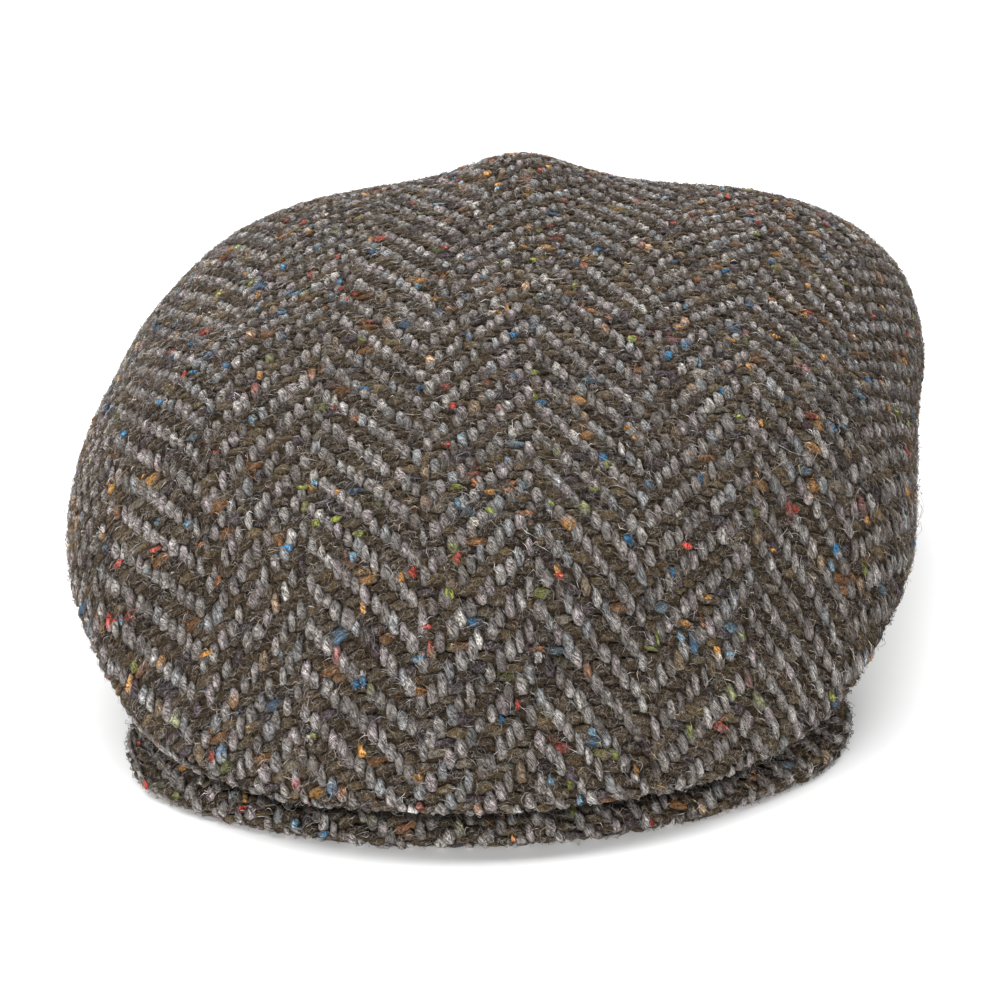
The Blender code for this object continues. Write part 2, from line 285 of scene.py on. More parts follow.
# Flecks: spans of half width, half length and height, and the share that lies across
FLECK_WIDTH = (0.0007, 0.0013)
FLECK_LENGTH = (0.0010, 0.0022)
FLECK_HEIGHT = (0.0003, 0.0006)
FLECKS_ACROSS = 0.35
FLECK_FACES_FLOOR = -0.2

# Colours of yarns, flecks and fibres, as red, green, blue and share, and the most that a channel gets
LIGHTEST = 0.9
LIGHT_ROWS = (
    (0.286, 0.264, 0.253, 0.28),
    (0.258, 0.264, 0.270, 0.12),
    (0.292, 0.254, 0.256, 0.13),
    (0.232, 0.210, 0.198, 0.26),
    (0.330, 0.312, 0.295, 0.12),
    (0.145, 0.125, 0.115, 0.05),
    (0.400, 0.380, 0.350, 0.02),
    (0.060, 0.045, 0.058, 0.02),
    (0.235, 0.170, 0.112, 0.03),
)
DARK_ROWS = (
    (0.060, 0.042, 0.026, 0.38),
    (0.080, 0.056, 0.032, 0.24),
    (0.042, 0.030, 0.023, 0.18),
    (0.112, 0.079, 0.040, 0.09),
    (0.052, 0.040, 0.047, 0.07),
    (0.190, 0.085, 0.030, 0.02),
    (0.140, 0.118, 0.088, 0.03),
)
FLECK_ROWS = (
    (0.030, 0.150, 0.290, 0.19),
    (0.150, 0.270, 0.350, 0.12),
    (0.560, 0.270, 0.070, 0.16),
    (0.360, 0.055, 0.040, 0.20),
    (0.190, 0.215, 0.045, 0.13),
    (0.310, 0.130, 0.055, 0.12),
    (0.430, 0.390, 0.330, 0.08),
)
FIBRE_ROWS = (
    (0.190, 0.178, 0.166, 0.28),
    (0.110, 0.093, 0.072, 0.24),
    (0.055, 0.037, 0.020, 0.25),
    (0.310, 0.290, 0.260, 0.08),
    (0.130, 0.083, 0.036, 0.10),
    (0.200, 0.070, 0.045, 0.01),
    (0.045, 0.120, 0.210, 0.01),
)

# Fibres of the warp and the weft, and loose ones: length and its evenness, bend and wave in radians,
# radius, and height above the cloth with what is added to it on the average
WARP_FIBRES = SimpleNamespace(
    length=0.0036, evenness=9.0, bend=1.8, wave=0.7, radius=0.000068, top=0.00032, lift=0.0002, segments=2
)
WEFT_FIBRES = SimpleNamespace(
    length=0.0036, evenness=9.0, bend=2.8, wave=1.2, radius=0.000068, top=0.00032, lift=0.0002, segments=2
)
LOOSE_FIBRES = SimpleNamespace(
    length=0.0056, evenness=4.0, bend=3.6, wave=1.5, radius=0.000058, top=0.0004, lift=0.00045, segments=4
)

# Tufts of the warp, the weft and the flecks. plump is the half width as a share of the spacing and
# reach the half length as a share of half the float. foot is the height of the underside, drop how far
# the ends sink, section the degrees of the points over the section, and rough the unevenness of the
# surface. streaks hold their size, their curl and how many pale hairs cross them. strays is the share
# of the fibres in the other set's colours, and lighter the fibres' shade as a power of e.
WARP = SimpleNamespace(
    name="warp",
    along_warp=True,
    plump=0.62,
    reach=1.22,
    foot=-0.00055,
    drop=YARN_DROP,
    section=(0, 48, 90, 132, 180),
    rings=4,
    rough=0.16,
    colours=LIGHT_ROWS,
    streaks=((0.30, 2.0, 4.0), 0.5, 1.0),
    fibres=WARP_FIBRES,
    strays=0.35,
    stray_colours=DARK_ROWS,
    lighter=0.0,
)
WEFT = SimpleNamespace(
    name="weft",
    along_warp=False,
    plump=0.61,
    reach=1.36,
    foot=-0.0007,
    drop=YARN_DROP,
    section=(0, 60, 120, 180),
    rings=3,
    rough=0.2,
    colours=DARK_ROWS,
    streaks=((0.30, 1.0, 4.0), 2.2, 1.4),
    fibres=WEFT_FIBRES,
    strays=0.2,
    stray_colours=LIGHT_ROWS,
    lighter=0.6,
)
FLECK = SimpleNamespace(
    foot=0.0, drop=0.0003, section=WARP.section, rings=3, rough=0.3, streaks=WARP.streaks
)

# Hairs that cross a yarn: curls in a metre, width, strength, whether the yarn has a share of its own
# for them, and colour. The last are raised.
YARN_HAIRS = (
    (640.0, 0.042, 0.7, False, (0.030, 0.022, 0.014, 1)),
    (740.0, 0.034, 0.45, True, (0.150, 0.110, 0.062, 1)),
    (560.0, 0.030, 0.6, True, (0.270, 0.255, 0.240, 1)),
)

# Colours of a yarn's flank, painted shade mixed with ragged brown fibre, and of the bed, darker than the
# yarns as partly painted shade of the gaps, with its brown fibre and its hairs
FLANK_SHADE_AND_FIBRE = (0.044, 0.032, 0.021, 1)
BED_DARK = (0.026, 0.018, 0.012, 1)
BED_BROWN = (0.072, 0.050, 0.030, 1)
BED_HAIR = (0.110, 0.090, 0.065, 1)

# The studio: the floor's half side, the lights' places with their widths and heights and what they are
# aimed at, and the camera
FLOOR_REACH = 6.0
BACK_LIGHT = ((-0.10, 0.90, 1.10), 4.0, 0.8)
FRONT_LIGHT = ((-0.34, -1.30, 0.24), 1.3, 0.4)
LIT_PLACE = (0, 0, 0.04)
CAMERA_PLACE = (-0.00498, -0.62814, 0.339)
CAMERA_TILT = 63.5
CAMERA_LENS = 90
CAMERA_SENSOR = 36
CAMERA_NEAR = 0.01


def smooth_curve(at, rows, x):
    """A cubic through the rows, whose slope at each row is that of the chord between its neighbours."""
    at = np.asarray(at, float)
    rows = np.asarray(rows, float)
    x = np.asarray(x, float)
    across = (slice(None),) + (None,) * (rows.ndim - 1)
    slope = np.empty_like(rows)
    slope[1:-1] = (rows[2:] - rows[:-2]) / (at[2:] - at[:-2])[across]
    slope[0] = (rows[1] - rows[0]) / (at[1] - at[0])
    slope[-1] = (rows[-1] - rows[-2]) / (at[-1] - at[-2])
    i = np.clip(np.searchsorted(at, x, side="right") - 1, 0, len(at) - 2)
    span = (at[i + 1] - at[i])[across]
    t = (x - at[i])[across] / span
    start = (2 * t**3 - 3 * t**2 + 1) * rows[i] + (t**3 - 2 * t**2 + t) * span * slope[i]
    end = (3 * t**2 - 2 * t**3) * rows[i + 1] + (t**3 - t**2) * span * slope[i + 1]
    return start + end


def ramp(low, high, x):
    """0 below low, 1 above high and a smooth step between them."""
    t = np.clip((x - low) / (high - low), 0, 1)
    return t * t * (3 - 2 * t)


def column(rows, columns, name):
    return np.array(rows)[:, columns.index(name)]


def within_half_turn(azimuth):
    """The same direction as an azimuth from -180 up to 180."""
    return (azimuth + 180) % 360 - 180


def head_reach(azimuth, margin):
    """Distance from the head's centre to an oval that is the opening grown by the margin."""
    angle = np.radians(azimuth)
    half_width = HEAD_WIDTH / 2 + margin
    half_length = HEAD_LENGTH / 2 + margin
    return 1 / np.hypot(np.sin(angle) / half_width, np.cos(angle) / half_length)


def lip_front():
    """Distance from the head's centre to the peak's lip."""
    return HEAD_LENGTH / 2 + PEAK_REACH


def lip_curve(azimuth):
    """Reach of the peak's lip and the lift of its underside."""
    at = column(LIP_ROWS, LIP_COLUMNS, "azimuth") * PEAK_TIP_ANGLE
    off_front = np.abs(azimuth)
    share = smooth_curve(at, column(LIP_ROWS, LIP_COLUMNS, "reach"), off_front)
    lift = smooth_curve(at, column(LIP_ROWS, LIP_COLUMNS, "lift"), off_front)
    inner = head_reach(azimuth, 0)
    return inner + share * (lip_front() - inner), lift * PEAK_THICKNESS


def peak_underside(azimuth, reach):
    """Height of the peak's underside: it climbs from the lip to an arch over the wearer's forehead."""
    lip, lift = lip_curve(azimuth)
    inward = (lip - reach) / (lip - head_reach(azimuth, 0))
    arch = np.cos(np.radians(90 * np.abs(azimuth) / PEAK_TIP_ANGLE)) ** PEAK_ARCH_POWER
    return lift - LIP_FLATTENED + PEAK_RISE * arch * inward


def above_peak(azimuth, reach):
    """Height at which cloth lies on the peak's top, which falls to the floor behind the peak's tips."""
    within = np.clip(azimuth, -PEAK_TIP_ANGLE, PEAK_TIP_ANGLE)
    lip, _ = lip_curve(within)
    top = peak_underside(within, np.minimum(reach, lip)) + PEAK_THICKNESS + GAP
    return top * (1 - ramp(*BEHIND_TIP, np.abs(azimuth) - PEAK_TIP_ANGLE))


def both_sides(turn, values, sign):
    """The rows of one side mirrored to the other, and repeated past the back to close smoothly."""
    angles = np.concatenate([-turn[:0:-1], turn])
    doubled = np.concatenate([sign * values[:0:-1], values])
    angles = np.concatenate([angles[-3:-1] - 360, angles, angles[1:3] + 360])
    doubled = np.concatenate([doubled[-3:-1], doubled, doubled[1:3]])
    return angles, doubled


def edge_curve(azimuth):
    """Place across and along, and height, of the crown's widest edge."""
    back = HEAD_LENGTH / 2 + BACK_OVERHANG
    across = column(EDGE_ROWS, EDGE_COLUMNS, "across") * CROWN_WIDTH / 2
    share = column(EDGE_ROWS, EDGE_COLUMNS, "along")
    along = share * np.where(share < 0, lip_front() - LIP_SHOWN, back)
    lift = column(EDGE_ROWS, EDGE_COLUMNS, "lift")
    turn = np.degrees(np.arctan2(across, -along))
    x = smooth_curve(*both_sides(turn, across, -1), azimuth)
    y = smooth_curve(*both_sides(turn, along, 1), azimuth)
    rise = np.clip(smooth_curve(*both_sides(turn, lift, 1), azimuth), 0, None)
    over_peak = np.clip(azimuth, -FOLD_END_ANGLE, FOLD_END_ANGLE)
    front = above_peak(over_peak, np.hypot(x, y) - FRONT_FOLD) + FRONT_FOLD
    return x, y, front + (EDGE_HEIGHT - front) * rise


def profile_heights(azimuth):
    """Height of the crown at each of RING_ROWS, its three profiles mixed by azimuth.

    Near the middle the shares of front and back are c(c + 1)/2 and c(c - 1)/2, where c is the azimuth's
    cosine, which makes the middle a smooth dome. Further out they keep to FRONT_TO_SIDE and SIDE_TO_BACK.
    """
    reach, front, side, back = (column(RING_ROWS, RING_COLUMNS, name)[:, None] for name in RING_COLUMNS)
    outer = ramp(*MIDDLE_TO_RINGS, reach)
    forward = np.cos(np.radians(azimuth))
    domed_front = forward * (forward + 1) / 2
    domed_back = forward * (forward - 1) / 2
    to_front = (1 - outer) * domed_front + outer * (1 - ramp(*FRONT_TO_SIDE, np.abs(azimuth)))
    to_back = (1 - outer) * domed_back + outer * ramp(*SIDE_TO_BACK, np.abs(azimuth))
    profile = to_front * front + to_back * back + (1 - to_front - to_back) * side
    _, _, (front_edge, side_edge, back_edge) = edge_curve(np.array([0.0, 90.0, 180.0]))
    domed_edge = side_edge + domed_front * (front_edge - side_edge) + domed_back * (back_edge - side_edge)
    _, _, edge = edge_curve(azimuth)
    edge = domed_edge + outer * (edge - domed_edge)
    return edge + (CROWN_HEIGHT - edge) * profile


def crown_top(azimuth, ring):
    """The crown's outer surface, for every azimuth at every ring from 0 at the middle to 1 at the edge.

    A point is the widest edge drawn in by the ring's reach. Its height comes from the profiles, each of
    which runs on through the middle into the opposite one, and the folds are laid over it.
    """
    step = 1 / (len(RING_ROWS) - 1)
    at = np.linspace(-step, 1, len(RING_ROWS) + 1)
    shares = column(RING_ROWS, RING_COLUMNS, "reach")
    reach = smooth_curve(at, np.concatenate([-shares[1:2], shares]), ring)[:, None]
    opposite = profile_heights(within_half_turn(azimuth + 180))[1:2]
    z = smooth_curve(at, np.concatenate([opposite, profile_heights(azimuth)]), ring)
    for row in FOLD_ROWS:
        fold = dict(zip(FOLD_COLUMNS, row))
        beside = within_half_turn(azimuth - fold["azimuth"]) / fold["azimuth_spread"]
        outward = (reach - fold["reach"]) / fold["reach_spread"]
        shape = np.exp(-(beside**2) - outward**2) * (1 - reach**FOLD_FADE_POWER)
        z = z + fold["lift"] * CROWN_HEIGHT * shape
    x, y, _ = edge_curve(azimuth)
    return reach * x, reach * y, z


def side_wall(azimuth, down):
    """The outer surface from the crown's widest edge (down 0) to the surface it stands on (down 1).

    It leaves the edge straight down, draws in to the head's oval, and ends in an upright hem. Over the
    peak's tips it lies on the peak and its hem stands on the peak's inner edge.
    """
    x, y, edge = edge_curve(azimuth)
    reach = np.hypot(x, y)
    rim = head_reach(azimuth, CLOTH)
    foot = above_peak(azimuth, rim)
    hem = HEM_HEIGHT + (HEM_ON_PEAK - HEM_HEIGHT) * np.clip(foot / PEAK_THICKNESS, 0, 1)
    sloping = np.clip(down / (1 - HEM_SHARE), 0, 1)
    upright = np.clip((down - 1 + HEM_SHARE) / HEM_SHARE, 0, 1)
    drawn_in = rim + (reach - rim) * (1 - ramp(0, 1, sloping))
    z = edge + (foot + hem - edge) * sloping - hem * upright
    z = np.maximum(z, above_peak(azimuth, drawn_in))
    return x / reach * drawn_in, y / reach * drawn_in, z


def crown_tuck(azimuth, turned):
    """The crown past its widest edge: a fold onto the peak in front, and the wall's top elsewhere."""
    x, y, edge = edge_curve(azimuth)
    reach = np.hypot(x, y)
    angle = turned * math.pi / 2
    folded = 1 - FRONT_FOLD * (1 - np.cos(angle)) / reach
    front = (x * folded, y * folded, edge - FRONT_FOLD * np.sin(angle))
    side = side_wall(azimuth, turned * SEAM_SHARE)
    on_side = ramp(BAND_START_ANGLE, FOLD_END_ANGLE, np.abs(azimuth))
    return tuple(on_side * s + (1 - on_side) * f for s, f in zip(side, front))


def band_wall(azimuth, down):
    """The side band, from just under the crown's rim (down 0) to the hem (down 1).

    It leaves the crown's rim in the rim's own direction and eases into the side wall.
    """
    before_rim = np.array([[1 - SMALL_STEP], [1]])
    rim = crown_tuck(azimuth, before_rim)
    plain = side_wall(azimuth, SEAM_SHARE * before_rim)
    stretch = (1 - SEAM_SHARE) / SEAM_SHARE / SMALL_STEP
    speed = stretch * np.sqrt(sum((r[1] - r[0]) ** 2 for r in rim))
    down = SEAM_GAP / speed + (1 - SEAM_GAP / speed) * down
    wall = side_wall(azimuth, SEAM_SHARE + (1 - SEAM_SHARE) * down)
    placed = (1 - down) ** 2 * (1 + 2 * down)
    turned = (1 - down) ** 2 * down * stretch
    x, y, z = (
        w + placed * (r[1] - p[1]) + turned * ((r[1] - r[0]) - (p[1] - p[0]))
        for w, r, p in zip(wall, rim, plain)
    )
    return x, y, np.maximum(z, above_peak(azimuth, np.hypot(x, y)))


def lie(x, y, z):
    """The cap as it lies, with the top swung aside and the peak turned."""
    towards_back = ramp(SWING_FROM, HEAD_LENGTH / 2 + BACK_OVERHANG, y)
    swing = BACK_SWING * towards_back * ramp(0, SWING_FULL_HEIGHT, z)
    forward = 1 - ramp(PEAK_TURN_FULL, PEAK_TURN_END, y)
    return np.stack([x + swing, y + PEAK_TURN * x * forward, z], axis=-1)


def bottom_centre():
    """The middle of the whole cap as it lies, at the height of the surface below it."""
    edge = lie(*edge_curve(np.linspace(-180, 180, AROUND, endpoint=False)))
    azimuth = np.linspace(-PEAK_TIP_ANGLE, PEAK_TIP_ANGLE, PEAK_SECTIONS + 1)
    lip, lift = lip_curve(azimuth)
    angle = np.radians(azimuth)
    outline = np.concatenate([edge, lie(lip * np.sin(angle), -lip * np.cos(angle), lift)])
    middle = (outline.min(axis=0) + outline.max(axis=0)) / 2
    return middle * [1, 1, 0]


ORIGIN = bottom_centre()


def arc_lengths(points):
    """Length along each column of points, from its first row down."""
    steps = np.linalg.norm(np.diff(points, axis=0), axis=-1)
    return np.concatenate([np.zeros((1, points.shape[1])), np.cumsum(steps, axis=0)])


def evenly_down(points, at):
    """Points down each column at the given lengths from its first row, and straight on past its last."""
    arc = arc_lengths(points)
    columns = points.shape[1]
    shift = np.arange(columns) * (arc.max() + 1)
    known = (arc + shift).T.ravel()
    wanted = (np.minimum(at[:, None], arc[-1]) + shift).T.ravel()
    flat = [np.interp(wanted, known, points[..., k].T.ravel()).reshape(columns, -1).T for k in range(3)]
    way = points[-1] - points[-3]
    way = way / np.linalg.norm(way, axis=-1, keepdims=True)
    return np.stack(flat, axis=-1) + np.clip(at[:, None] - arc[-1], 0, None)[..., None] * way


def rings_evenly(points, count):
    """Points down each column at even shares of the column's own length."""
    arc = arc_lengths(points)[-1][:, None]
    return evenly_down(points / arc, np.linspace(0, 1, count + 1)) * arc


def between(grid, i, j):
    """Values of a grid at places given in steps along its two axes, mixed from the four nearest."""
    low_i = np.clip(np.floor(i).astype(int), 0, grid.shape[0] - 2)
    low_j = np.clip(np.floor(j).astype(int), 0, grid.shape[1] - 2)
    to_i = np.clip(i - low_i, 0, 1)
    to_j = np.clip(j - low_j, 0, 1)
    if grid.ndim == 3:
        to_i = to_i[..., None]
        to_j = to_j[..., None]
    near = grid[low_i, low_j] * (1 - to_j) + grid[low_i, low_j + 1] * to_j
    far = grid[low_i + 1, low_j] * (1 - to_j) + grid[low_i + 1, low_j + 1] * to_j
    return near * (1 - to_i) + far * to_i


def round_rim(rim, which):
    """Places on a rim, at numbers of its columns."""
    return between(np.stack([rim, rim]), np.zeros(which.shape), which)


def unit(vectors):
    """Vectors brought to length 1."""
    return vectors / np.maximum(np.linalg.norm(vectors, axis=-1, keepdims=True), TINY)


class Cloth:
    """A piece of cloth laid on the cap: places and outward normals on an even grid of its own threads.

    The first coordinate runs along the weft and the second along the warp, in metres. room is how far a
    place lies inside the cloth's cut edge, and crease how far it lies from the crown's rim as a share of
    the reach of the crease's painted shade on this cloth.
    """

    STEP = 0.001

    def __init__(self, across, along, places, room, rim, reach):
        self.first = np.array([across[0], along[0]])
        self.last = np.array([across[-1], along[-1]])
        self.places = places
        self.room = room
        self.crease = np.linalg.norm(places - rim, axis=-1) / reach
        inward = np.stack(np.gradient(room, self.STEP), axis=-1)
        self.inward = inward / np.maximum((inward**2).sum(axis=-1, keepdims=True), LEAST_SLOPE)
        self.normals = unit(np.cross(np.gradient(places, axis=0), np.gradient(places, axis=1)))

    def steps(self, threads):
        steps = (threads - self.first) / self.STEP
        return steps[..., 0], steps[..., 1]

    def at(self, threads, height):
        """Places at a height above the cloth, and never below the floor."""
        i, j = self.steps(threads)
        places = between(self.places, i, j) + height[..., None] * between(self.normals, i, j)
        places[..., 2] = np.maximum(places[..., 2], ABOVE_FLOOR)
        return places

    def normal(self, threads):
        return between(self.normals, *self.steps(threads))

    def inside(self, threads, margin):
        """Whether places lie at least the margin inside the cut edge."""
        within = np.all((threads > self.first) & (threads < self.last), axis=-1)
        return within & (between(self.room, *self.steps(threads)) > margin)

    def kept_inside(self, threads, middle):
        """The same places, with those beyond the cut edge moved back to it, or else to their middle."""
        i, j = self.steps(threads)
        beyond = np.clip(EDGE_MARGIN - between(self.room, i, j), 0, EDGE_BEYOND)
        moved = threads + beyond[..., None] * between(self.inward, i, j)
        return np.where(self.inside(moved, -EDGE_MISSED)[..., None], moved, middle)

    def to_crease(self, threads):
        return between(self.crease, *self.steps(threads))

    def rolled_under(self, threads):
        """How far places have gone round the rolled cut edge, from 0 on the face to 1 at the edge."""
        return np.clip(1 - between(self.room, *self.steps(threads)) / EDGE_ROLL, 0, 1) ** 2

    def flat_size(self):
        """Width, length and area of the cloth before it was sewn."""
        held = self.room > 0
        width, length = (held.any(axis=axis).sum() * self.STEP for axis in (1, 0))
        return width, length, held.sum() * self.STEP**2


def lay_from_middle(azimuth, points, measured, rim, reach, start, span, straight_weft):
    """Cloth on a surface whose columns run outwards from a middle, as threads lie on a dome.

    The surface is first unrolled: a point at length s down the column of azimuth t goes to
    (s sin t, -s cos t), where s begins at start. A thread's coordinates are then lengths along the other
    set of threads, U = integral of |dP/da| da from the middle and V = integral of |dP/db| db from the
    straight weft, and the even grid of U and V is found by stepping towards it. Both lengths are taken on
    the measured columns, which for the crown run straight on where the crown itself turns under.
    """
    ends = start + arc_lengths(points)[-1]
    lengths = np.arange(0, (ends - start).max() + PAST_LAST_POINT, FINE_STEP)
    down = evenly_down(points, lengths)
    plane = np.arange(-span, span + Cloth.STEP / 2, Cloth.STEP)

    def on_surface(down, a, b):
        turn = np.degrees(np.arctan2(a, -b))
        which = np.clip((turn - azimuth[0]) / (azimuth[1] - azimuth[0]), 0, len(azimuth) - 1)
        length = np.hypot(a, b)
        begins = np.interp(which, np.arange(len(azimuth)), start)
        room = np.interp(which, np.arange(len(azimuth)), ends) - length
        if azimuth[-1] < 180:
            beside = np.radians(azimuth[-1] - np.abs(turn)) * length
            room = np.minimum(room, np.minimum(beside, length - begins))
        places = between(down, np.clip(length - begins, 0, None) / FINE_STEP, which)
        return places, room, round_rim(rim, which)

    wanted_across, wanted_along = np.meshgrid(plane, plane, indexing="ij")
    surface, _, _ = on_surface(evenly_down(measured, lengths), wanted_across, wanted_along)
    middle = len(plane) // 2
    weft = int(round((straight_weft - plane[0]) / Cloth.STEP))
    across = arc_lengths(surface)
    across = across - across[middle : middle + 1] - CROWN_SHIFT
    along = arc_lengths(np.swapaxes(surface, 0, 1)).T
    along = along - along[:, weft : weft + 1] + straight_weft
    stretch_across = np.clip(np.gradient(across, Cloth.STEP, axis=0), LEAST_STRETCH, None)
    stretch_along = np.clip(np.gradient(along, Cloth.STEP, axis=1), LEAST_STRETCH, None)
    a, b = wanted_across, wanted_along
    for _ in range(UNROLL_STEPS):
        i, j = (a - plane[0]) / Cloth.STEP, (b - plane[0]) / Cloth.STEP
        off_across = (wanted_across - between(across, i, j)) / between(stretch_across, i, j)
        off_along = (wanted_along - between(along, i, j)) / between(stretch_along, i, j)
        a = np.clip(a + UNROLL_EASE * off_across, plane[0], plane[-1])
        b = np.clip(b + UNROLL_EASE * off_along, plane[0], plane[-1])
    places, room, edge = on_surface(down, a, b)
    i, j = (a - plane[0]) / Cloth.STEP, (b - plane[0]) / Cloth.STEP
    missed = np.hypot(wanted_across - between(across, i, j), wanted_along - between(along, i, j))
    room = np.where(missed > Cloth.STEP, -1.0, room)
    return Cloth(plane, plane, places, room, edge, reach)


def lay_round(points, rim, reach):
    """Cloth on a wall whose columns run down it side by side, with the warp down the wall.

    Across, a place is as far round as on the wall's middle row, and along, it is as far down its column.
    """
    arc = arc_lengths(points)
    middle_row = points[len(points) // 2]
    around = arc_lengths(middle_row[:, None])[:, 0]
    across = np.arange(0, around[-1], Cloth.STEP)
    depth = np.arange(0, arc[-1].max() + PAST_HEM, Cloth.STEP)
    down = evenly_down(points, depth)
    which = np.interp(across, around, np.arange(len(around)))
    i, j = np.meshgrid(np.arange(len(depth))[::-1], which, indexing="ij")
    places = np.swapaxes(between(down, i, j), 0, 1)
    bottom = np.interp(which, np.arange(len(around)), arc[-1])[:, None]
    room = np.minimum(depth[::-1], bottom - depth[::-1])
    room = np.minimum(room, np.minimum(across, across[-1] - across)[:, None])
    return Cloth(across, -depth[::-1], places, room, round_rim(rim, which)[:, None], reach)


def crown_columns(azimuth):
    """The crown's outer surface, down each azimuth from the middle over the edge to the rim."""
    top = lie(*crown_top(azimuth, np.linspace(0, 1, TOP_POINTS)))
    tuck = lie(*crown_tuck(azimuth, np.linspace(0, 1, TUCK_POINTS)[1:, None]))
    return np.concatenate([top, tuck]) - ORIGIN


def band_columns(azimuth):
    """The side band's outer surface, down each azimuth from the crown's rim to the hem."""
    return lie(*band_wall(azimuth, np.linspace(0, 1, BAND_POINTS)[:, None])) - ORIGIN


def peak_columns(azimuth):
    """The peak's surface, from its inner edge over the top and round the lip to the inner edge below.

    The lip is half a circle as high as the peak is thick, and where the crown lies on the top, the top is
    pressed in a little.
    """
    lip, _ = lip_curve(azimuth)
    radius = PEAK_THICKNESS / 2
    outer = lip - radius
    chord = outer + (head_reach(azimuth, 0) - outer) * np.linspace(1, 0, CHORD_POINTS)[:, None]
    turn = np.radians(np.linspace(90, -90, LIP_POINTS))[1:-1, None]
    reach = np.concatenate([chord, outer + radius * np.cos(turn), chord[::-1]])
    x, y, _ = edge_curve(azimuth)
    pressed = PEAK_PRESSED * (1 - ramp(*PRESSED_SPAN, chord - np.hypot(x, y) + FRONT_FOLD))
    below = peak_underside(azimuth, chord)
    round_lip = peak_underside(azimuth, outer) + radius * (1 + np.sin(turn))
    height = np.concatenate([below + PEAK_THICKNESS - pressed, round_lip, below[::-1]])
    angle = np.radians(azimuth)
    return lie(reach * np.sin(angle), -reach * np.cos(angle), np.clip(height, 0, None)) - ORIGIN


def grid_faces(rows, around, closed):
    """Quads of a grid of points in rows, joined end to start where closed."""
    spans = around if closed else around - 1
    i, j = np.meshgrid(np.arange(rows - 1), np.arange(spans), indexing="ij")
    after = (j + 1) % around
    corners = [i * around + j, i * around + after, (i + 1) * around + after, (i + 1) * around + j]
    return np.stack(corners, axis=-1).reshape(-1, 4)


def piece_mesh(name, points, faces, material, crease, strand=None, colours=None):
    """A smooth-shaded piece on the root body, with its crease, strands and colours at its vertices."""
    mesh = bpy.data.meshes.new(name)
    sizes = np.concatenate([np.full(len(f), f.shape[1]) for f in faces])
    corners = np.concatenate([f.ravel() for f in faces]).astype(np.int32)
    mesh.vertices.add(len(points))
    mesh.vertices.foreach_set("co", np.ascontiguousarray(points, np.float32).ravel())
    mesh.loops.add(len(corners))
    mesh.loops.foreach_set("vertex_index", corners)
    mesh.polygons.add(len(sizes))
    starts = np.concatenate([[0], np.cumsum(sizes)[:-1]]).astype(np.int32)
    mesh.polygons.foreach_set("loop_start", starts)
    mesh.update(calc_edges=True)
    if mesh.validate():
        raise RuntimeError(f"{name} has broken faces")
    if colours is not None:
        colours = np.concatenate([colours, np.ones((len(colours), 1))], axis=1)
    for label, kind, field, values in (
        ("strand", "FLOAT_VECTOR", "vector", strand),
        ("yarn_colour", "FLOAT_COLOR", "color", colours),
        ("crease", "FLOAT", "value", crease),
    ):
        if values is not None:
            made = mesh.attributes.new(label, kind, "POINT")
            made.data.foreach_set(field, np.ascontiguousarray(values, np.float32).ravel())
    mesh.materials.append(material)
    mesh.shade_smooth()
    piece = bpy.data.objects.new(name, mesh)
    bpy.context.scene.collection.objects.link(piece)
    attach(piece, "root")
    return piece


def give_thickness(piece, below, thickness):
    """Lowers a sheet below its yarns, and gives it its thickness inwards.

    A place near the floor is raised until the inner face under it clears the floor as well.
    """
    mesh = piece.data
    places = np.empty(len(mesh.vertices) * 3, np.float32)
    normals = np.empty(len(mesh.vertices) * 3, np.float32)
    mesh.vertices.foreach_get("co", places)
    for lowered in (below, 0.0, 0.0):
        mesh.vertex_normals.foreach_get("vector", normals)
        places -= lowered * normals
        upwards = np.clip(normals[2::3], 0, None)
        places[2::3] = np.maximum(places[2::3], ABOVE_FLOOR + thickness * upwards)
        mesh.vertices.foreach_set("co", places)
        mesh.update()
    wall = piece.modifiers.new("cloth", "SOLIDIFY")
    wall.thickness = thickness
    wall.offset = -1


def pick_colours(rows, count, rng, spread):
    """Colours drawn by their shares, each a little lighter or darker than its row."""
    table = np.array(rows)
    chosen = rng.choice(len(table), count, p=table[:, 3] / table[:, 3].sum())
    shade = np.exp(rng.normal(0, spread, (count, 1)))
    return np.clip(table[chosen, :3] * shade, 0, LIGHTEST)


def herringbone(first_end, ends, first_pick, picks, column_ends):
    """Whether the warp passes over the weft, for every end and pick.

    In a column the float steps one pick for each end. The next column steps the other way, and its
    first end is the opposite of its neighbour, which breaks the line as in any herringbone.
    """
    end = np.arange(first_end, first_end + ends)
    column_number = np.floor_divide(end, column_ends)
    within = end - column_number * column_ends
    start = np.where(column_number % 2 == 0, 1 - within, within)
    return (np.arange(first_pick, first_pick + picks)[None] - start[:, None]) % REPEAT < FLOAT


def runs(over):
    """Row, start and length of each run of True along the rows of a table."""
    edged = np.zeros((over.shape[0], over.shape[1] + 2), int)
    edged[:, 1:-1] = over
    change = np.diff(edged, axis=1)
    row, start = np.nonzero(change == 1)
    _, stop = np.nonzero(change == -1)
    return row, start, stop - start


def tube_faces(rings, around, count):
    """Faces of many closed tubes, each of rings of points and then a tip at each end."""
    turn = np.arange(around)
    after = (turn + 1) % around
    last = (rings - 1) * around
    tip = rings * around
    quads = grid_faces(rings, around, True)
    start = np.stack([np.full(around, tip), after, turn], axis=-1)
    end = np.stack([np.full(around, tip + 1), last + turn, last + after], axis=-1)
    triangles = np.concatenate([start, end])
    first = (np.arange(count) * (tip + 2))[:, None, None]
    return [(quads[None] + first).reshape(-1, 4), (triangles[None] + first).reshape(-1, 3)]


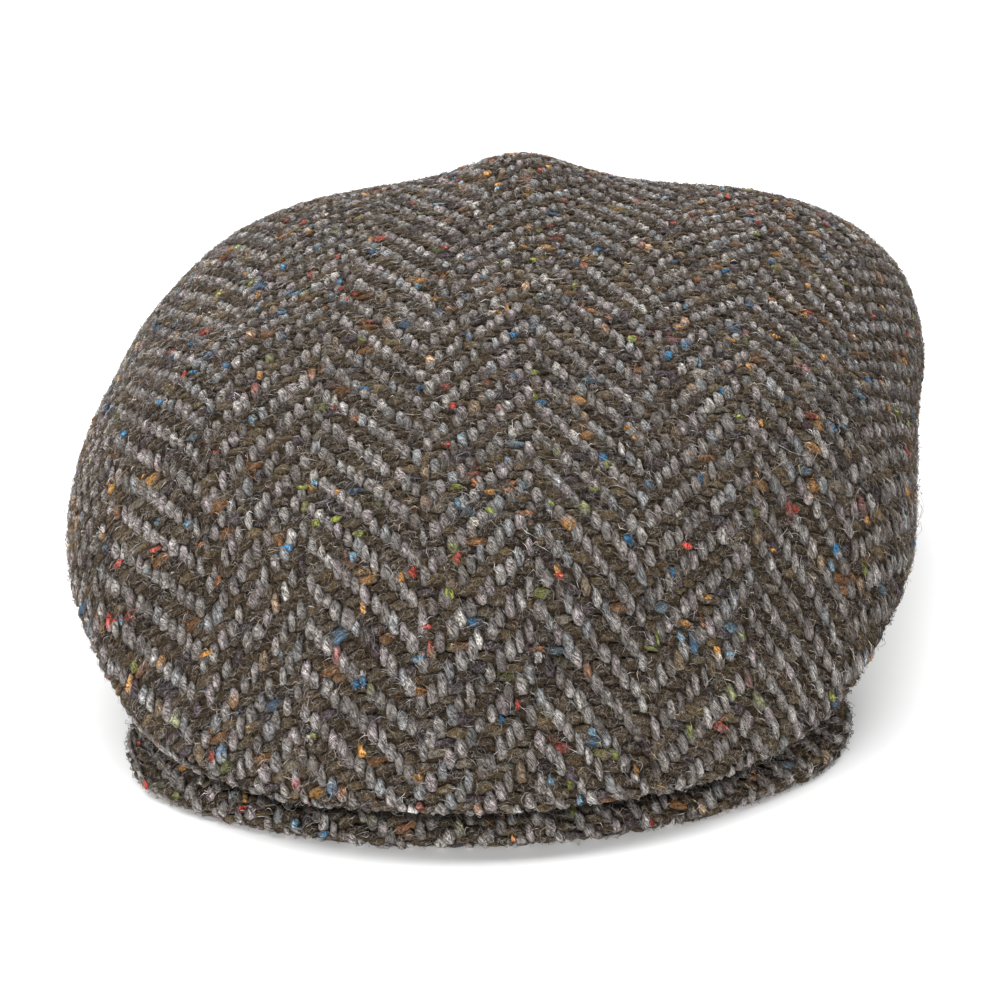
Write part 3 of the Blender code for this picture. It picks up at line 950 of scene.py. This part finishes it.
class Yarns:
    """Floats of one set of threads: middle, half width and half length, and the way they run."""

    def __init__(self, middle, half, along_warp):
        self.middle = middle
        self.half = half
        self.along_warp = along_warp

    def threads(self, side, length):
        """Thread coordinates of points beside and along the floats."""
        if self.along_warp:
            offset = np.stack([side, length], axis=-1)
        else:
            offset = np.stack([length, -side], axis=-1)
        return self.middle[:, None] + offset


def yarn_tufts(cloth, yarns, height, kind, rng):
    """Closed tufts of yarn on a cloth, one for each float.

    At t from -1 to 1 along a tuft, its half width is the half given times (1 - |t|^p)^q for the two
    TUFT_POWERS, its top is height times that above its foot, and it sinks by drop t^2 towards its ends,
    and into the cloth's rolled edge. Its section is half an ellipse with a flat underside. With the
    points come each one's t and how much light its place keeps.
    """
    count = len(yarns.middle)
    rings = kind.rings
    turn = np.radians(kind.section)
    around = len(turn)
    t = np.sin(np.linspace(-1, 1, rings + 2) * RING_CROWDING) / math.sin(RING_CROWDING)
    body = (1 - np.abs(t[1:-1]) ** TUFT_POWERS[0]) ** TUFT_POWERS[1]
    tapered = body * (1 - YARN_TAPER * t[1:-1])
    side = (np.cos(turn)[None] * tapered[:, None]).ravel()[None] * yarns.half[:, :1]
    rise = (np.sin(turn)[None] * body[:, None]).ravel()[None] * height[:, None]
    rise = rise + kind.foot - kind.drop * np.repeat(t[1:-1] ** 2, around)[None]
    length = np.repeat(t[1:-1], around)[None] * yarns.half[:, 1:]
    side = side + rng.normal(0, kind.rough, side.shape) * yarns.half[:, :1]
    rise = rise + rng.normal(0, kind.rough, side.shape) * height[:, None] * (rise > kind.foot)
    tips = np.array([[t[0], t[-1]]]) * yarns.half[:, 1:]
    side = np.concatenate([side, rng.normal(0, TIP_SPREAD, (count, 2)) * yarns.half[:, :1]], axis=1)
    length = np.concatenate([length, tips], axis=1)
    side = side - YARN_LEAN * length
    rise = np.concatenate([rise, np.full((count, 2), kind.foot - kind.drop)], axis=1)
    threads = cloth.kept_inside(yarns.threads(side, length), yarns.middle[:, None])
    under = cloth.rolled_under(threads)
    points = cloth.at(threads, rise - EDGE_SINK * under)
    rolled = np.concatenate([np.tile(math.pi / 2 - turn, rings), [0, 0]])[None] * yarns.half[:, :1]
    twist = rng.normal(TWIST, TWIST_SPREAD, (count, 1))
    shift = rng.uniform(-STRAND_SHIFT, STRAND_SHIFT, (count, 1))
    over = rolled * np.cos(twist) + length * np.sin(twist) + shift
    along_fibre = length * np.cos(twist) - rolled * np.sin(twist)
    edge = np.hypot(rolled, END_SHARE * length * np.abs(length / yarns.half[:, 1:]) ** 2)
    strand = np.stack([over, along_fibre, edge * yarns.along_warp], axis=-1) * STRAND_UNIT
    along = np.concatenate([np.repeat(t[1:-1], around), t[[0, -1]]])[None]
    # Painted shade: darker towards the tuft's ends and in the rolled cut edge
    lit = (1 - ENDS_PAINTED_SHADE * along**2) * (1 - EDGE_PAINTED_SHADE * under)
    made = points.reshape(-1, 3), tube_faces(rings, around, count), strand.reshape(-1, 3)
    return *made, cloth.to_crease(threads), along, lit[..., None]


def fibre_tubes(cloth, start, heading, kind, rng):
    """Fibres that wander over a cloth from their starts, and are kept inside its cut edge.

    At s from 0 to 1 along a fibre its heading is h + bend s + wave sin(f s + p). It stands off the
    cloth by top sin(pi s)^(1/2), with both ends tucked in, and it is a three-sided tube that tapers to
    a point at each end.
    """
    segments = kind.segments

    def one_each(low, high):
        return rng.uniform(low, high, (len(start), 1))

    length = kind.length * rng.gamma(kind.evenness, 1 / kind.evenness, len(start))
    s = np.linspace(0, 1, segments + 1)
    halfway = (s[1:] + s[:-1]) / 2
    turning = heading[:, None] + kind.bend * one_each(-1, 1) * halfway
    wave = kind.wave * one_each(*WAVE_STRENGTH)
    turning = turning + wave * np.sin(one_each(*WAVE_TURN) * halfway + one_each(*WAVE_START))
    steps = np.stack([np.cos(turning), np.sin(turning)], axis=-1) * length[:, None, None] / segments
    gone = np.concatenate([np.zeros((len(start), 1, 2)), np.cumsum(steps, axis=1)], axis=1)
    threads = start[:, None] + gone
    kept = cloth.inside(threads, FIBRE_MARGIN).all(axis=1) & (cloth.normal(start)[:, 2] > FACES_FLOOR)
    threads = threads[kept]
    count = len(threads)
    arch = np.sqrt(np.sin(math.pi * s))
    top = kind.top + kind.lift * rng.gamma(LIFT_EVENNESS, 1 / LIFT_EVENNESS, (count, 1))
    rise = top * arch * (1 + RISE_SPREAD * rng.normal(0, 1, (count, segments + 1)))
    rise[:, [0, -1]] = TUCKED_IN
    line = cloth.at(threads, rise)
    forward = unit(np.gradient(line, axis=1))
    sideways = unit(np.cross(forward, cloth.normal(threads)))
    up = np.cross(sideways, forward)
    radius = kind.radius * rng.uniform(*FIBRE_THICKNESS, (count, 1)) * np.maximum(arch, THINNEST)
    turn = np.radians([90, 210, 330])[:, None]
    ring = np.cos(turn) * sideways[:, 1:-1, None] + np.sin(turn) * up[:, 1:-1, None]
    rings = line[:, 1:-1, None] + radius[:, 1:-1, None, None] * ring
    points = np.concatenate([rings.reshape(count, -1, 3), line[:, :1], line[:, -1:]], axis=1)
    faces = [face[:, ::-1] for face in tube_faces(segments - 1, len(turn), count)]
    beside = cloth.to_crease(threads)
    beside = np.concatenate([np.repeat(beside[:, 1:-1], len(turn), axis=1), beside[:, [0, -1]]], axis=1)
    return points.reshape(-1, 3), faces, beside, kept, points.shape[1]


class Value:
    """A shader socket on which Python's arithmetic adds Math nodes."""

    def __init__(self, shader, socket):
        self.shader = shader
        self.socket = socket

    def math(self, operation, *values):
        return self.shader.node("ShaderNodeMath", {"operation": operation}, dict(enumerate(values)))

    def __add__(self, other):
        return self.math("ADD", self, other)

    def __sub__(self, other):
        return self.math("SUBTRACT", self, other)

    def __mul__(self, other):
        return self.math("MULTIPLY", self, other)

    __rmul__ = __mul__

    def __abs__(self):
        return self.math("ABSOLUTE", self)


class Shader:
    """A new material's nodes, with its Principled shader."""

    def __init__(self, name):
        self.material = bpy.data.materials.new(name)
        self.material.use_nodes = True
        self.tree = self.material.node_tree
        self.surface = self.tree.nodes["Principled BSDF"]

    def node(self, kind, settings, sockets, output=0):
        """A node of a type, with its settings made first and then its sockets' values or links."""
        made = self.tree.nodes.new(kind)
        for name, value in settings.items():
            setattr(made, name, value)
        for name, value in sockets.items():
            self.feed(made.inputs[name], value)
        return Value(self, made.outputs[output])

    def feed(self, socket, value):
        if isinstance(value, Value):
            self.tree.links.new(value.socket, socket)
        else:
            socket.default_value = value

    def finish(self, **sockets):
        """Feeds the Principled shader's sockets by their names, with _ for a space."""
        for name, value in sockets.items():
            self.feed(self.surface.inputs[name.replace("_", " ")], value)
        return self.material

    def smooth(self, value, low, high, start, end):
        """start where the value is low and end where it is high, with a smooth step between."""
        settings = {"interpolation_type": "SMOOTHSTEP"}
        return self.node("ShaderNodeMapRange", settings, {0: value, 1: low, 2: high, 3: start, 4: end})

    def noise(self, vector, scale, detail, roughness=0.6, distortion=0.0):
        sockets = {"Vector": vector, "Scale": scale, "Detail": detail, "Roughness": roughness}
        sockets["Distortion"] = distortion
        return self.node("ShaderNodeTexNoise", {"noise_dimensions": "3D"}, sockets)

    def scaled(self, colour, factor):
        return self.node("ShaderNodeVectorMath", {"operation": "SCALE"}, {0: colour, "Scale": factor})

    def mixed(self, factor, first, second):
        sockets = {0: factor, 6: first, 7: second}
        return self.node("ShaderNodeMix", {"data_type": "RGBA"}, sockets, output=2)

    def painted_crease_shade(self):
        """Painted shade: the share of its colour that a place keeps, least in the crease beside the
        crown's rim.
        """
        beside = self.node("ShaderNodeAttribute", {"attribute_name": "crease"}, {}, output=2)
        return self.smooth(beside, *PAINTED_CREASE_SHADE)

    def hair_lines(self, vector, scale, width):
        """Thin curled lines, where a noise crosses its middle value."""
        crossing = abs(self.noise(vector, scale, detail=2.0, roughness=0.5) - 0.5)
        return self.smooth(crossing, low=0.0, high=width, start=1.0, end=0.0)


def yarn_material(name, contrast, streak_size, curl, hairs):
    """Wool yarn: twisted streaks of fibre along each strand, blotches, and stray hairs that cross it."""
    shader = Shader(name)
    colour = shader.node("ShaderNodeAttribute", {"attribute_name": "yarn_colour"}, {})
    strand = shader.node("ShaderNodeAttribute", {"attribute_name": "strand"}, {}, output=1)
    place = shader.node("ShaderNodeTexCoord", {}, {}, output=3)
    fibres = shader.node(
        "ShaderNodeMapping", {"vector_type": "TEXTURE"}, {"Vector": strand, "Scale": streak_size}
    )
    streak = shader.noise(fibres, scale=1.0, detail=2.0, roughness=0.5, distortion=curl)
    blotch = shader.noise(strand, scale=0.8, detail=2.0)
    shade = shader.smooth(streak, low=0.38, high=0.60, start=1 - contrast, end=1 + contrast * 0.95)
    shade = shade * shader.smooth(blotch, low=0.35, high=0.65, start=0.8, end=1.2)
    base = shader.scaled(colour, shade)
    # Painted shade on the yarn's flanks and ends, mixed with ragged brown fibre
    flank = shader.node("ShaderNodeSeparateXYZ", {}, {0: strand}, output=2) + 6.0 * streak
    browned = shader.smooth(flank, low=3.9, high=4.9, start=0.0, end=0.55)
    base = shader.mixed(browned, base, FLANK_SHADE_AND_FIBRE)
    for scale, width, strength, shared, hair_colour in YARN_HAIRS:
        hair = shader.hair_lines(place, scale, width)
        base = shader.mixed(hair * (strength * (hairs if shared else 1.0)), base, hair_colour)
    # Painted shade in the crease beside the crown's rim
    base = shader.scaled(base, shader.painted_crease_shade())
    height = streak + 0.3 * shader.noise(place, scale=2600.0, detail=1.0) + 0.15 * hair
    bump = shader.node("ShaderNodeBump", {}, {"Strength": 0.9, "Distance": 0.0005, "Height": height})
    return shader.finish(
        Base_Color=base,
        Roughness=0.95,
        Sheen_Weight=0.025,
        Sheen_Roughness=0.5,
        Specular_IOR_Level=0.04,
        Normal=bump,
    )


def ground_material(name):
    """The bed between the yarns, coloured darker than the yarns as partly painted shade of the gaps, and
    matted with brown and grey fibre.
    """
    shader = Shader(name)
    place = shader.node("ShaderNodeTexCoord", {}, {}, output=3)
    matted = shader.noise(place, scale=900.0, detail=3.0)
    browned = shader.smooth(matted, low=0.4, high=0.66, start=0.0, end=1.0)
    # Dark bed colours, partly painted shade of the gaps between the yarns
    base = shader.mixed(browned, BED_DARK, BED_BROWN)
    pale = shader.hair_lines(place, scale=400.0, width=0.018)
    base = shader.mixed(pale * 0.5, base, BED_HAIR)
    # Painted shade in the crease beside the crown's rim
    base = shader.scaled(base, shader.painted_crease_shade())
    height = matted + 0.5 * pale
    bump = shader.node("ShaderNodeBump", {}, {"Strength": 0.8, "Distance": 0.0004, "Height": height})
    return shader.finish(
        Base_Color=base, Roughness=0.95, Sheen_Weight=0.02, Specular_IOR_Level=0.04, Normal=bump
    )


def fibre_material(name):
    """Single fibres in their own colours, a little lighter and darker along their length."""
    shader = Shader(name)
    colour = shader.node("ShaderNodeAttribute", {"attribute_name": "yarn_colour"}, {})
    place = shader.node("ShaderNodeTexCoord", {}, {}, output=3)
    uneven = shader.noise(place, scale=500.0, detail=1.0)
    # The fibres' own uneven tone, times painted shade in the crease beside the crown's rim
    shade = shader.smooth(uneven, low=0.35, high=0.65, start=0.65, end=1.35) * shader.painted_crease_shade()
    return shader.finish(
        Base_Color=shader.scaled(colour, shade), Roughness=0.7, Sheen_Weight=0.03, Specular_IOR_Level=0.12
    )


class Tweed:
    """Weaves the tweed of one CAD piece and lays its bed."""

    def __init__(self, settings, label, seed):
        self.settings = settings
        self.label = label
        self.slot = label + "_tweed"
        self.rng = np.random.default_rng(seed)
        self.fibre = fibre_material(label + "_fibre")
        self.pieces = []

    def add(self, name, points, faces, material, crease, strand, colours):
        made = piece_mesh(self.label + name, points, faces, material, crease, strand, colours)
        self.pieces.append(made)

    def floats(self, cloth):
        """The warp floats and the weft floats of the herringbone on a cloth."""
        rng = self.rng
        settings = self.settings
        pitch = np.array([settings.column_width / settings.column_ends, settings.pick_spacing])
        first = np.floor(cloth.first / pitch).astype(int)
        ends, picks = np.ceil(cloth.last / pitch).astype(int) - first
        over = herringbone(first[0], ends, first[1], picks, settings.column_ends)
        end, pick, long = runs(over)
        warp = (first + np.stack([end + 0.5, pick + long / 2], axis=-1)) * pitch
        pick, end, wide = runs(~over.T)
        weft = (first + np.stack([end + wide / 2, pick + 0.5], axis=-1)) * pitch
        found = []
        for kind, middle, width, length in (
            (WARP, warp, pitch[0], long * pitch[1]),
            (WEFT, weft, pitch[1], wide * pitch[0]),
        ):
            half_length = length / 2 * kind.reach
            to_end = half_length[:, None] * np.array([0.0, 1.0] if kind.along_warp else [1.0, 0.0])
            inside = cloth.inside(middle, 0.0)
            for tip in (middle - to_end, middle + to_end):
                inside &= cloth.inside(tip, -EDGE_BEYOND)
            middle, half_length = middle[inside], half_length[inside]
            count = len(middle)
            drift = WANDER_HEIGHT * np.sin(middle[:, ::-1] * WANDER_TURN + 2 * middle * WANDER_TURN)
            middle = middle + drift + rng.normal(0, settings.yarn_wander, middle.shape)
            half_width = width * kind.plump * rng.normal(1.0, WIDTH_SPREAD, count)
            half_length = half_length * rng.normal(1.0, LENGTH_SPREAD, count)
            half = np.stack([half_width, half_length], axis=-1)
            found.append(Yarns(middle, half, kind.along_warp))
        return found

    def weave(self, cloth):
        """The yarns of one cloth with their fibres, its flecks and its loose fibres."""
        per_float = (self.settings.warp_fibres, self.settings.weft_fibres)
        for kind, yarns, fibres in zip((WARP, WEFT), self.floats(cloth), per_float):
            shades = self.raise_yarns(cloth, yarns, kind)
            self.fibres_along(cloth, yarns, kind, fibres, shades)
        self.flecks(cloth)
        self.loose_fibres(cloth)

    def raise_yarns(self, cloth, yarns, kind):
        """One set's yarns, some of them with a coloured nub, and the colours for their fibres."""
        rng = self.rng
        count = len(yarns.middle)
        height = self.settings.yarn_height * rng.normal(1.0, HEIGHT_SPREAD, count)
        points, faces, strand, crease, along, lit = yarn_tufts(cloth, yarns, height, kind, rng)
        shades = pick_colours(kind.colours, count, rng, SHADE_SPREAD)
        nub = (rng.random((count, 1)) < self.settings.nub_share) * rng.uniform(*NUB_STRENGTH, (count, 1))
        off_nub = np.abs(along - rng.uniform(*NUB_MIDDLE, (count, 1)))
        off_nub = off_nub / rng.uniform(*NUB_LENGTH, (count, 1))
        dyed = pick_colours(FLECK_ROWS, count, rng, DYE_SPREAD)
        share = (nub * np.clip(NUB_FADE - off_nub, 0, 1))[..., None]
        spread = shades[:, None] * (1 - share) + dyed[:, None] * share
        spread = spread * np.exp(rng.normal(0, YARN_UNEVEN, lit.shape)) * lit
        yarn = yarn_material(self.label + "_" + kind.name, self.settings.streak_contrast, *kind.streaks)
        self.add("_" + kind.name, points, faces, yarn, crease, strand, spread.reshape(-1, 3))
        return shades * (1 - nub / 2) + dyed * nub / 2

    def fibres_along(self, cloth, yarns, kind, per_float, shades):
        """Fibres over the twist of one set's yarns, a share of them in the other set's colours."""
        rng = self.rng
        which = np.repeat(np.arange(len(yarns.middle)), per_float)
        count = len(which)
        across = rng.normal(0, FIBRE_START_SPREAD, count)
        along = rng.uniform(*FIBRE_START_SPAN, count)
        start = np.stack([across, along], axis=-1) * yarns.half[which]
        heading = rng.normal(TWIST, FIBRE_TURN_SPREAD, count)
        if yarns.along_warp:
            heading = heading + math.pi / 2
        else:
            start = np.stack([start[:, 1], -start[:, 0]], axis=-1)
        made = fibre_tubes(cloth, yarns.middle[which] + start, heading, kind.fibres, rng)
        points, faces, crease, kept, size = made
        light = np.exp(rng.normal(kind.lighter, FIBRE_SPREAD, (count, 1)))
        stray = rng.random((count, 1)) < kind.strays
        other = pick_colours(kind.stray_colours, count, rng, STRAY_SPREAD)
        shades = np.where(stray, other, shades[which] * light)
        shades = np.repeat(np.clip(shades, 0, LIGHTEST)[kept], size, axis=0)
        self.add("_" + kind.name + "_fibres", points, faces, self.fibre, crease, None, shades)

    def scattered(self, cloth, density):
        """Places at random over a cloth."""
        count = int(density * np.prod(cloth.last - cloth.first))
        places = self.rng.uniform(cloth.first, cloth.last, (count, 2))
        return places[cloth.inside(places, SCATTER_MARGIN)]

    def flecks(self, cloth):
        """Short tufts in bright colours, scattered over the cloth's upper side."""
        rng = self.rng
        middle = self.scattered(cloth, self.settings.fleck_density)
        middle = middle[cloth.normal(middle)[:, 2] > FLECK_FACES_FLOOR]
        count = len(middle)
        half = np.stack([rng.uniform(*FLECK_WIDTH, count), rng.uniform(*FLECK_LENGTH, count)], axis=-1)
        half = np.where(rng.random((count, 1)) < FLECKS_ACROSS, half[:, ::-1], half)
        height = rng.uniform(*FLECK_HEIGHT, count)
        made = yarn_tufts(cloth, Yarns(middle, half, True), height, FLECK, rng)
        points, faces, strand, crease, _, lit = made
        shades = pick_colours(FLECK_ROWS, count, rng, DYE_SPREAD)[:, None]
        shades = shades * np.exp(rng.normal(0, YARN_UNEVEN, lit.shape)) * lit
        yarn = yarn_material(self.label + "_fleck", self.settings.streak_contrast, *FLECK.streaks)
        self.add("_flecks", points, faces, yarn, crease, strand, shades.reshape(-1, 3))

    def loose_fibres(self, cloth):
        """Curled fibres that stand off the cloth in any direction."""
        rng = self.rng
        start = self.scattered(cloth, self.settings.fibre_density)
        heading = rng.uniform(0, 2 * math.pi, len(start))
        points, faces, crease, kept, size = fibre_tubes(cloth, start, heading, LOOSE_FIBRES, rng)
        shades = pick_colours(FIBRE_ROWS, len(start), rng, LOOSE_SPREAD)[kept]
        shades = np.repeat(shades, size, axis=0)
        self.add("_fibres", points, faces, self.fibre, crease, None, shades)

    def lay_bed(self, cloth, points, faces, crease, thickness):
        """Lays the bed of cloth under its yarns, in the place of the CAD piece."""
        material = ground_material(self.label + "_bed")
        bed = piece_mesh(self.label + "_ground", points, faces, material, crease)
        give_thickness(bed, BED_DEPTH, thickness)
        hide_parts(self.label)
        width, length, area = cloth.flat_size()


class CapWeaveSettings(bpy.types.PropertyGroup):
    """Sizes of the tweed."""

    column_width: bpy.props.FloatProperty(
        name="Column width",
        description="Width of one column of the herringbone",
        default=0.0285,
        unit="LENGTH",
    )
    column_ends: bpy.props.IntProperty(
        name="Ends in a column", description="Warp yarns in one column of the herringbone", default=12
    )
    pick_spacing: bpy.props.FloatProperty(
        name="Pick spacing", description="Distance between weft yarns", default=0.002675, unit="LENGTH"
    )
    yarn_height: bpy.props.FloatProperty(
        name="Yarn height",
        description="Rise of a yarn where it passes over another",
        default=0.00085,
        unit="LENGTH",
    )
    yarn_wander: bpy.props.FloatProperty(
        name="Yarn wander", description="How unevenly the yarns lie", default=0.00022, unit="LENGTH"
    )
    streak_contrast: bpy.props.FloatProperty(
        name="Streak contrast",
        description="Difference between a yarn's light and dark fibres",
        default=0.74,
    )
    warp_fibres: bpy.props.IntProperty(
        name="Warp fibres", description="Fibres raised on each float of the warp", default=10
    )
    weft_fibres: bpy.props.IntProperty(
        name="Weft fibres", description="Fibres raised on each float of the weft", default=10
    )
    nub_share: bpy.props.FloatProperty(
        name="Nubs",
        description="Share of the floats with a coloured nub spun in",
        default=0.045,
        subtype="FACTOR",
    )
    fleck_density: bpy.props.FloatProperty(
        name="Flecks", description="Coloured flecks in a square metre of cloth", default=5200.0
    )
    fibre_density: bpy.props.FloatProperty(
        name="Loose fibres", description="Loose fibres in a square metre of cloth", default=64000.0
    )


class CapStageSettings(bpy.types.PropertyGroup):
    """The floor and the lights."""

    floor_colour: bpy.props.FloatVectorProperty(
        name="Floor", description="Colour of the floor", default=(0.92, 0.92, 0.92), subtype="COLOR"
    )
    back_power: bpy.props.FloatProperty(
        name="Back light",
        description="Power of the soft light above and behind",
        default=97.0,
        unit="POWER",
    )
    front_power: bpy.props.FloatProperty(
        name="Front light",
        description="Power of the wide low light in front",
        default=28.5,
        unit="POWER",
    )
    surround: bpy.props.FloatProperty(
        name="Surround", description="Strength of the even light from all round", default=0.165
    )


class CAP_OT_crown(bpy.types.Operator):
    """Weave the crown's cloth over the crown"""

    bl_idname = "cap.crown"
    bl_label = "Crown"

    def execute(self, context):
        azimuth = np.linspace(-180, 180, CROWN_COLUMNS)
        columns = crown_columns(azimuth)
        cloth = lay_from_middle(
            azimuth,
            columns,
            measured=columns[:TOP_POINTS],
            rim=columns[-1],
            reach=CREASE_ABOVE,
            start=np.zeros(CROWN_COLUMNS),
            span=CROWN_SPAN,
            straight_weft=0.0,
        )
        tweed = Tweed(context.scene.cap_weave, "crown", seed=11)
        tweed.weave(cloth)
        around, down = CROWN_BED
        columns = crown_columns(np.linspace(-180, 180, around, endpoint=False))
        rings = rings_evenly(columns, down)[1:]
        points = np.concatenate([rings.reshape(-1, 3), columns[0, :1]])
        j = np.arange(around)
        middle = np.stack([j, (j + 1) % around, np.full(around, len(points) - 1)], axis=-1)
        faces = [grid_faces(len(rings), around, True)[:, ::-1], middle]
        crease = np.append(np.linalg.norm(rings - rings[-1], axis=-1), 1.0) / CREASE_ABOVE
        tweed.lay_bed(cloth, points, faces, crease, BED_THICKNESS)
        return {"FINISHED"}


class CAP_OT_side_band(bpy.types.Operator):
    """Weave the side band's cloth"""

    bl_idname = "cap.side_band"
    bl_label = "Side band"

    def execute(self, context):
        whole_way = np.linspace(BAND_START_ANGLE, 360 - BAND_START_ANGLE, BAND_COLUMNS)
        azimuth = within_half_turn(whole_way)
        columns = band_columns(azimuth)
        rim = crown_columns(azimuth)[-1]
        cloth = lay_round(columns, rim, CREASE_BELOW)
        tweed = Tweed(context.scene.cap_weave, "side_band", seed=12)
        tweed.weave(cloth)
        rings = rings_evenly(columns[:, ::2], BAND_BED_RINGS)
        faces = [grid_faces(len(rings), rings.shape[1], False)[:, ::-1]]
        crease = np.linalg.norm(rings - rim[::2], axis=-1) / CREASE_BELOW
        tweed.lay_bed(cloth, rings.reshape(-1, 3), faces, crease, BED_THICKNESS)
        return {"FINISHED"}


class CAP_OT_peak(bpy.types.Operator):
    """Weave the peak's cover"""

    bl_idname = "cap.peak"
    bl_label = "Peak"

    def execute(self, context):
        azimuth = np.linspace(-PEAK_TIP_ANGLE, PEAK_TIP_ANGLE, PEAK_COLUMNS)
        columns = peak_columns(azimuth)
        cloth = lay_from_middle(
            azimuth,
            columns,
            measured=columns,
            rim=crown_columns(azimuth)[-1],
            reach=CREASE_BELOW,
            start=head_reach(azimuth, 0),
            span=PEAK_SPAN,
            straight_weft=-lip_front(),
        )
        tweed = Tweed(context.scene.cap_weave, "peak", seed=13)
        tweed.weave(cloth)
        sections, down = PEAK_BED
        azimuth = np.linspace(-PEAK_TIP_ANGLE, PEAK_TIP_ANGLE, sections)
        rings = np.swapaxes(rings_evenly(peak_columns(azimuth), down), 0, 1)
        count = rings.shape[1]
        faces = [grid_faces(sections, count, True)]
        i = np.arange(count // 2 - 1)
        end = np.stack([i, i + 1, count - 2 - i, count - 1 - i], axis=-1)
        faces += [end[:, ::-1], end + (sections - 1) * count]
        crease = np.linalg.norm(rings - crown_columns(azimuth)[-1][:, None], axis=-1) / CREASE_BELOW
        tweed.lay_bed(cloth, rings.reshape(-1, 3), faces, crease, PEAK_BED_THICKNESS)
        return {"FINISHED"}


class CAP_OT_stage(bpy.types.Operator):
    """Lay the floor, set the lights and place the camera"""

    bl_idname = "cap.stage"
    bl_label = "Studio"

    def execute(self, context):
        settings = context.scene.cap_stage
        scene = context.scene
        shader = Shader("studio_floor")
        shader.finish(Base_Color=(*settings.floor_colour, 1), Roughness=0.9, Specular_IOR_Level=0.0)
        mesh = bpy.data.meshes.new("floor")
        corners = [(x * FLOOR_REACH, y * FLOOR_REACH, 0) for x, y in ((-1, -1), (1, -1), (1, 1), (-1, 1))]
        mesh.from_pydata(corners, [], [(0, 1, 2, 3)])
        mesh.materials.append(shader.material)
        floor = bpy.data.objects.new("floor", mesh)
        scene.collection.objects.link(floor)
        world = bpy.data.worlds.new("studio")
        world.use_nodes = True
        background = world.node_tree.nodes["Background"]
        background.inputs["Color"].default_value = (1, 1, 1, 1)
        background.inputs["Strength"].default_value = settings.surround
        scene.world = world
        for name, (place, wide, high), power in (
            ("back_light", BACK_LIGHT, settings.back_power),
            ("front_light", FRONT_LIGHT, settings.front_power),
        ):
            light = bpy.data.lights.new(name, "AREA")
            light.shape = "RECTANGLE"
            light.size = wide
            light.size_y = high
            light.energy = power
            lamp = bpy.data.objects.new(name, light)
            lamp.location = place
            x, y, z = np.array(LIT_PLACE) - place
            lamp.rotation_euler = (math.atan2(math.hypot(x, y), -z), 0, math.atan2(y, x) - math.pi / 2)
            scene.collection.objects.link(lamp)
        view = bpy.data.cameras.new("camera")
        view.lens = CAMERA_LENS
        view.sensor_width = CAMERA_SENSOR
        view.clip_start = CAMERA_NEAR
        camera = bpy.data.objects.new("camera", view)
        camera.location = CAMERA_PLACE
        camera.rotation_euler = (math.radians(CAMERA_TILT), 0, 0)
        scene.collection.objects.link(camera)
        scene.camera = camera
        scene.view_settings.view_transform = "Standard"
        return {"FINISHED"}


class CAP_PT_panel(bpy.types.Panel):
    """The cap's pieces and sizes"""

    bl_label = "Flat cap"
    bl_space_type = "VIEW_3D"
    bl_region_type = "UI"
    bl_category = "Cap"

    def draw(self, context):
        for settings in (context.scene.cap_weave, context.scene.cap_stage):
            for label in settings.__annotations__:
                self.layout.prop(settings, label)
        for operator in OPERATORS:
            self.layout.operator(operator.bl_idname)


OPERATORS = (CAP_OT_crown, CAP_OT_side_band, CAP_OT_peak, CAP_OT_stage)
CLASSES = (CapWeaveSettings, CapStageSettings, *OPERATORS, CAP_PT_panel)


def register():
    for cls in CLASSES:
        bpy.utils.register_class(cls)
    bpy.types.Scene.cap_weave = bpy.props.PointerProperty(type=CapWeaveSettings)
    bpy.types.Scene.cap_stage = bpy.props.PointerProperty(type=CapStageSettings)


def unregister():
    del bpy.types.Scene.cap_stage
    del bpy.types.Scene.cap_weave
    for cls in reversed(CLASSES):
        bpy.utils.unregister_class(cls)


def main():
    register()
    bpy.ops.cap.crown()
    bpy.ops.cap.side_band()
    bpy.ops.cap.peak()
    bpy.ops.cap.stage()


if __name__ == "__main__":
    main()
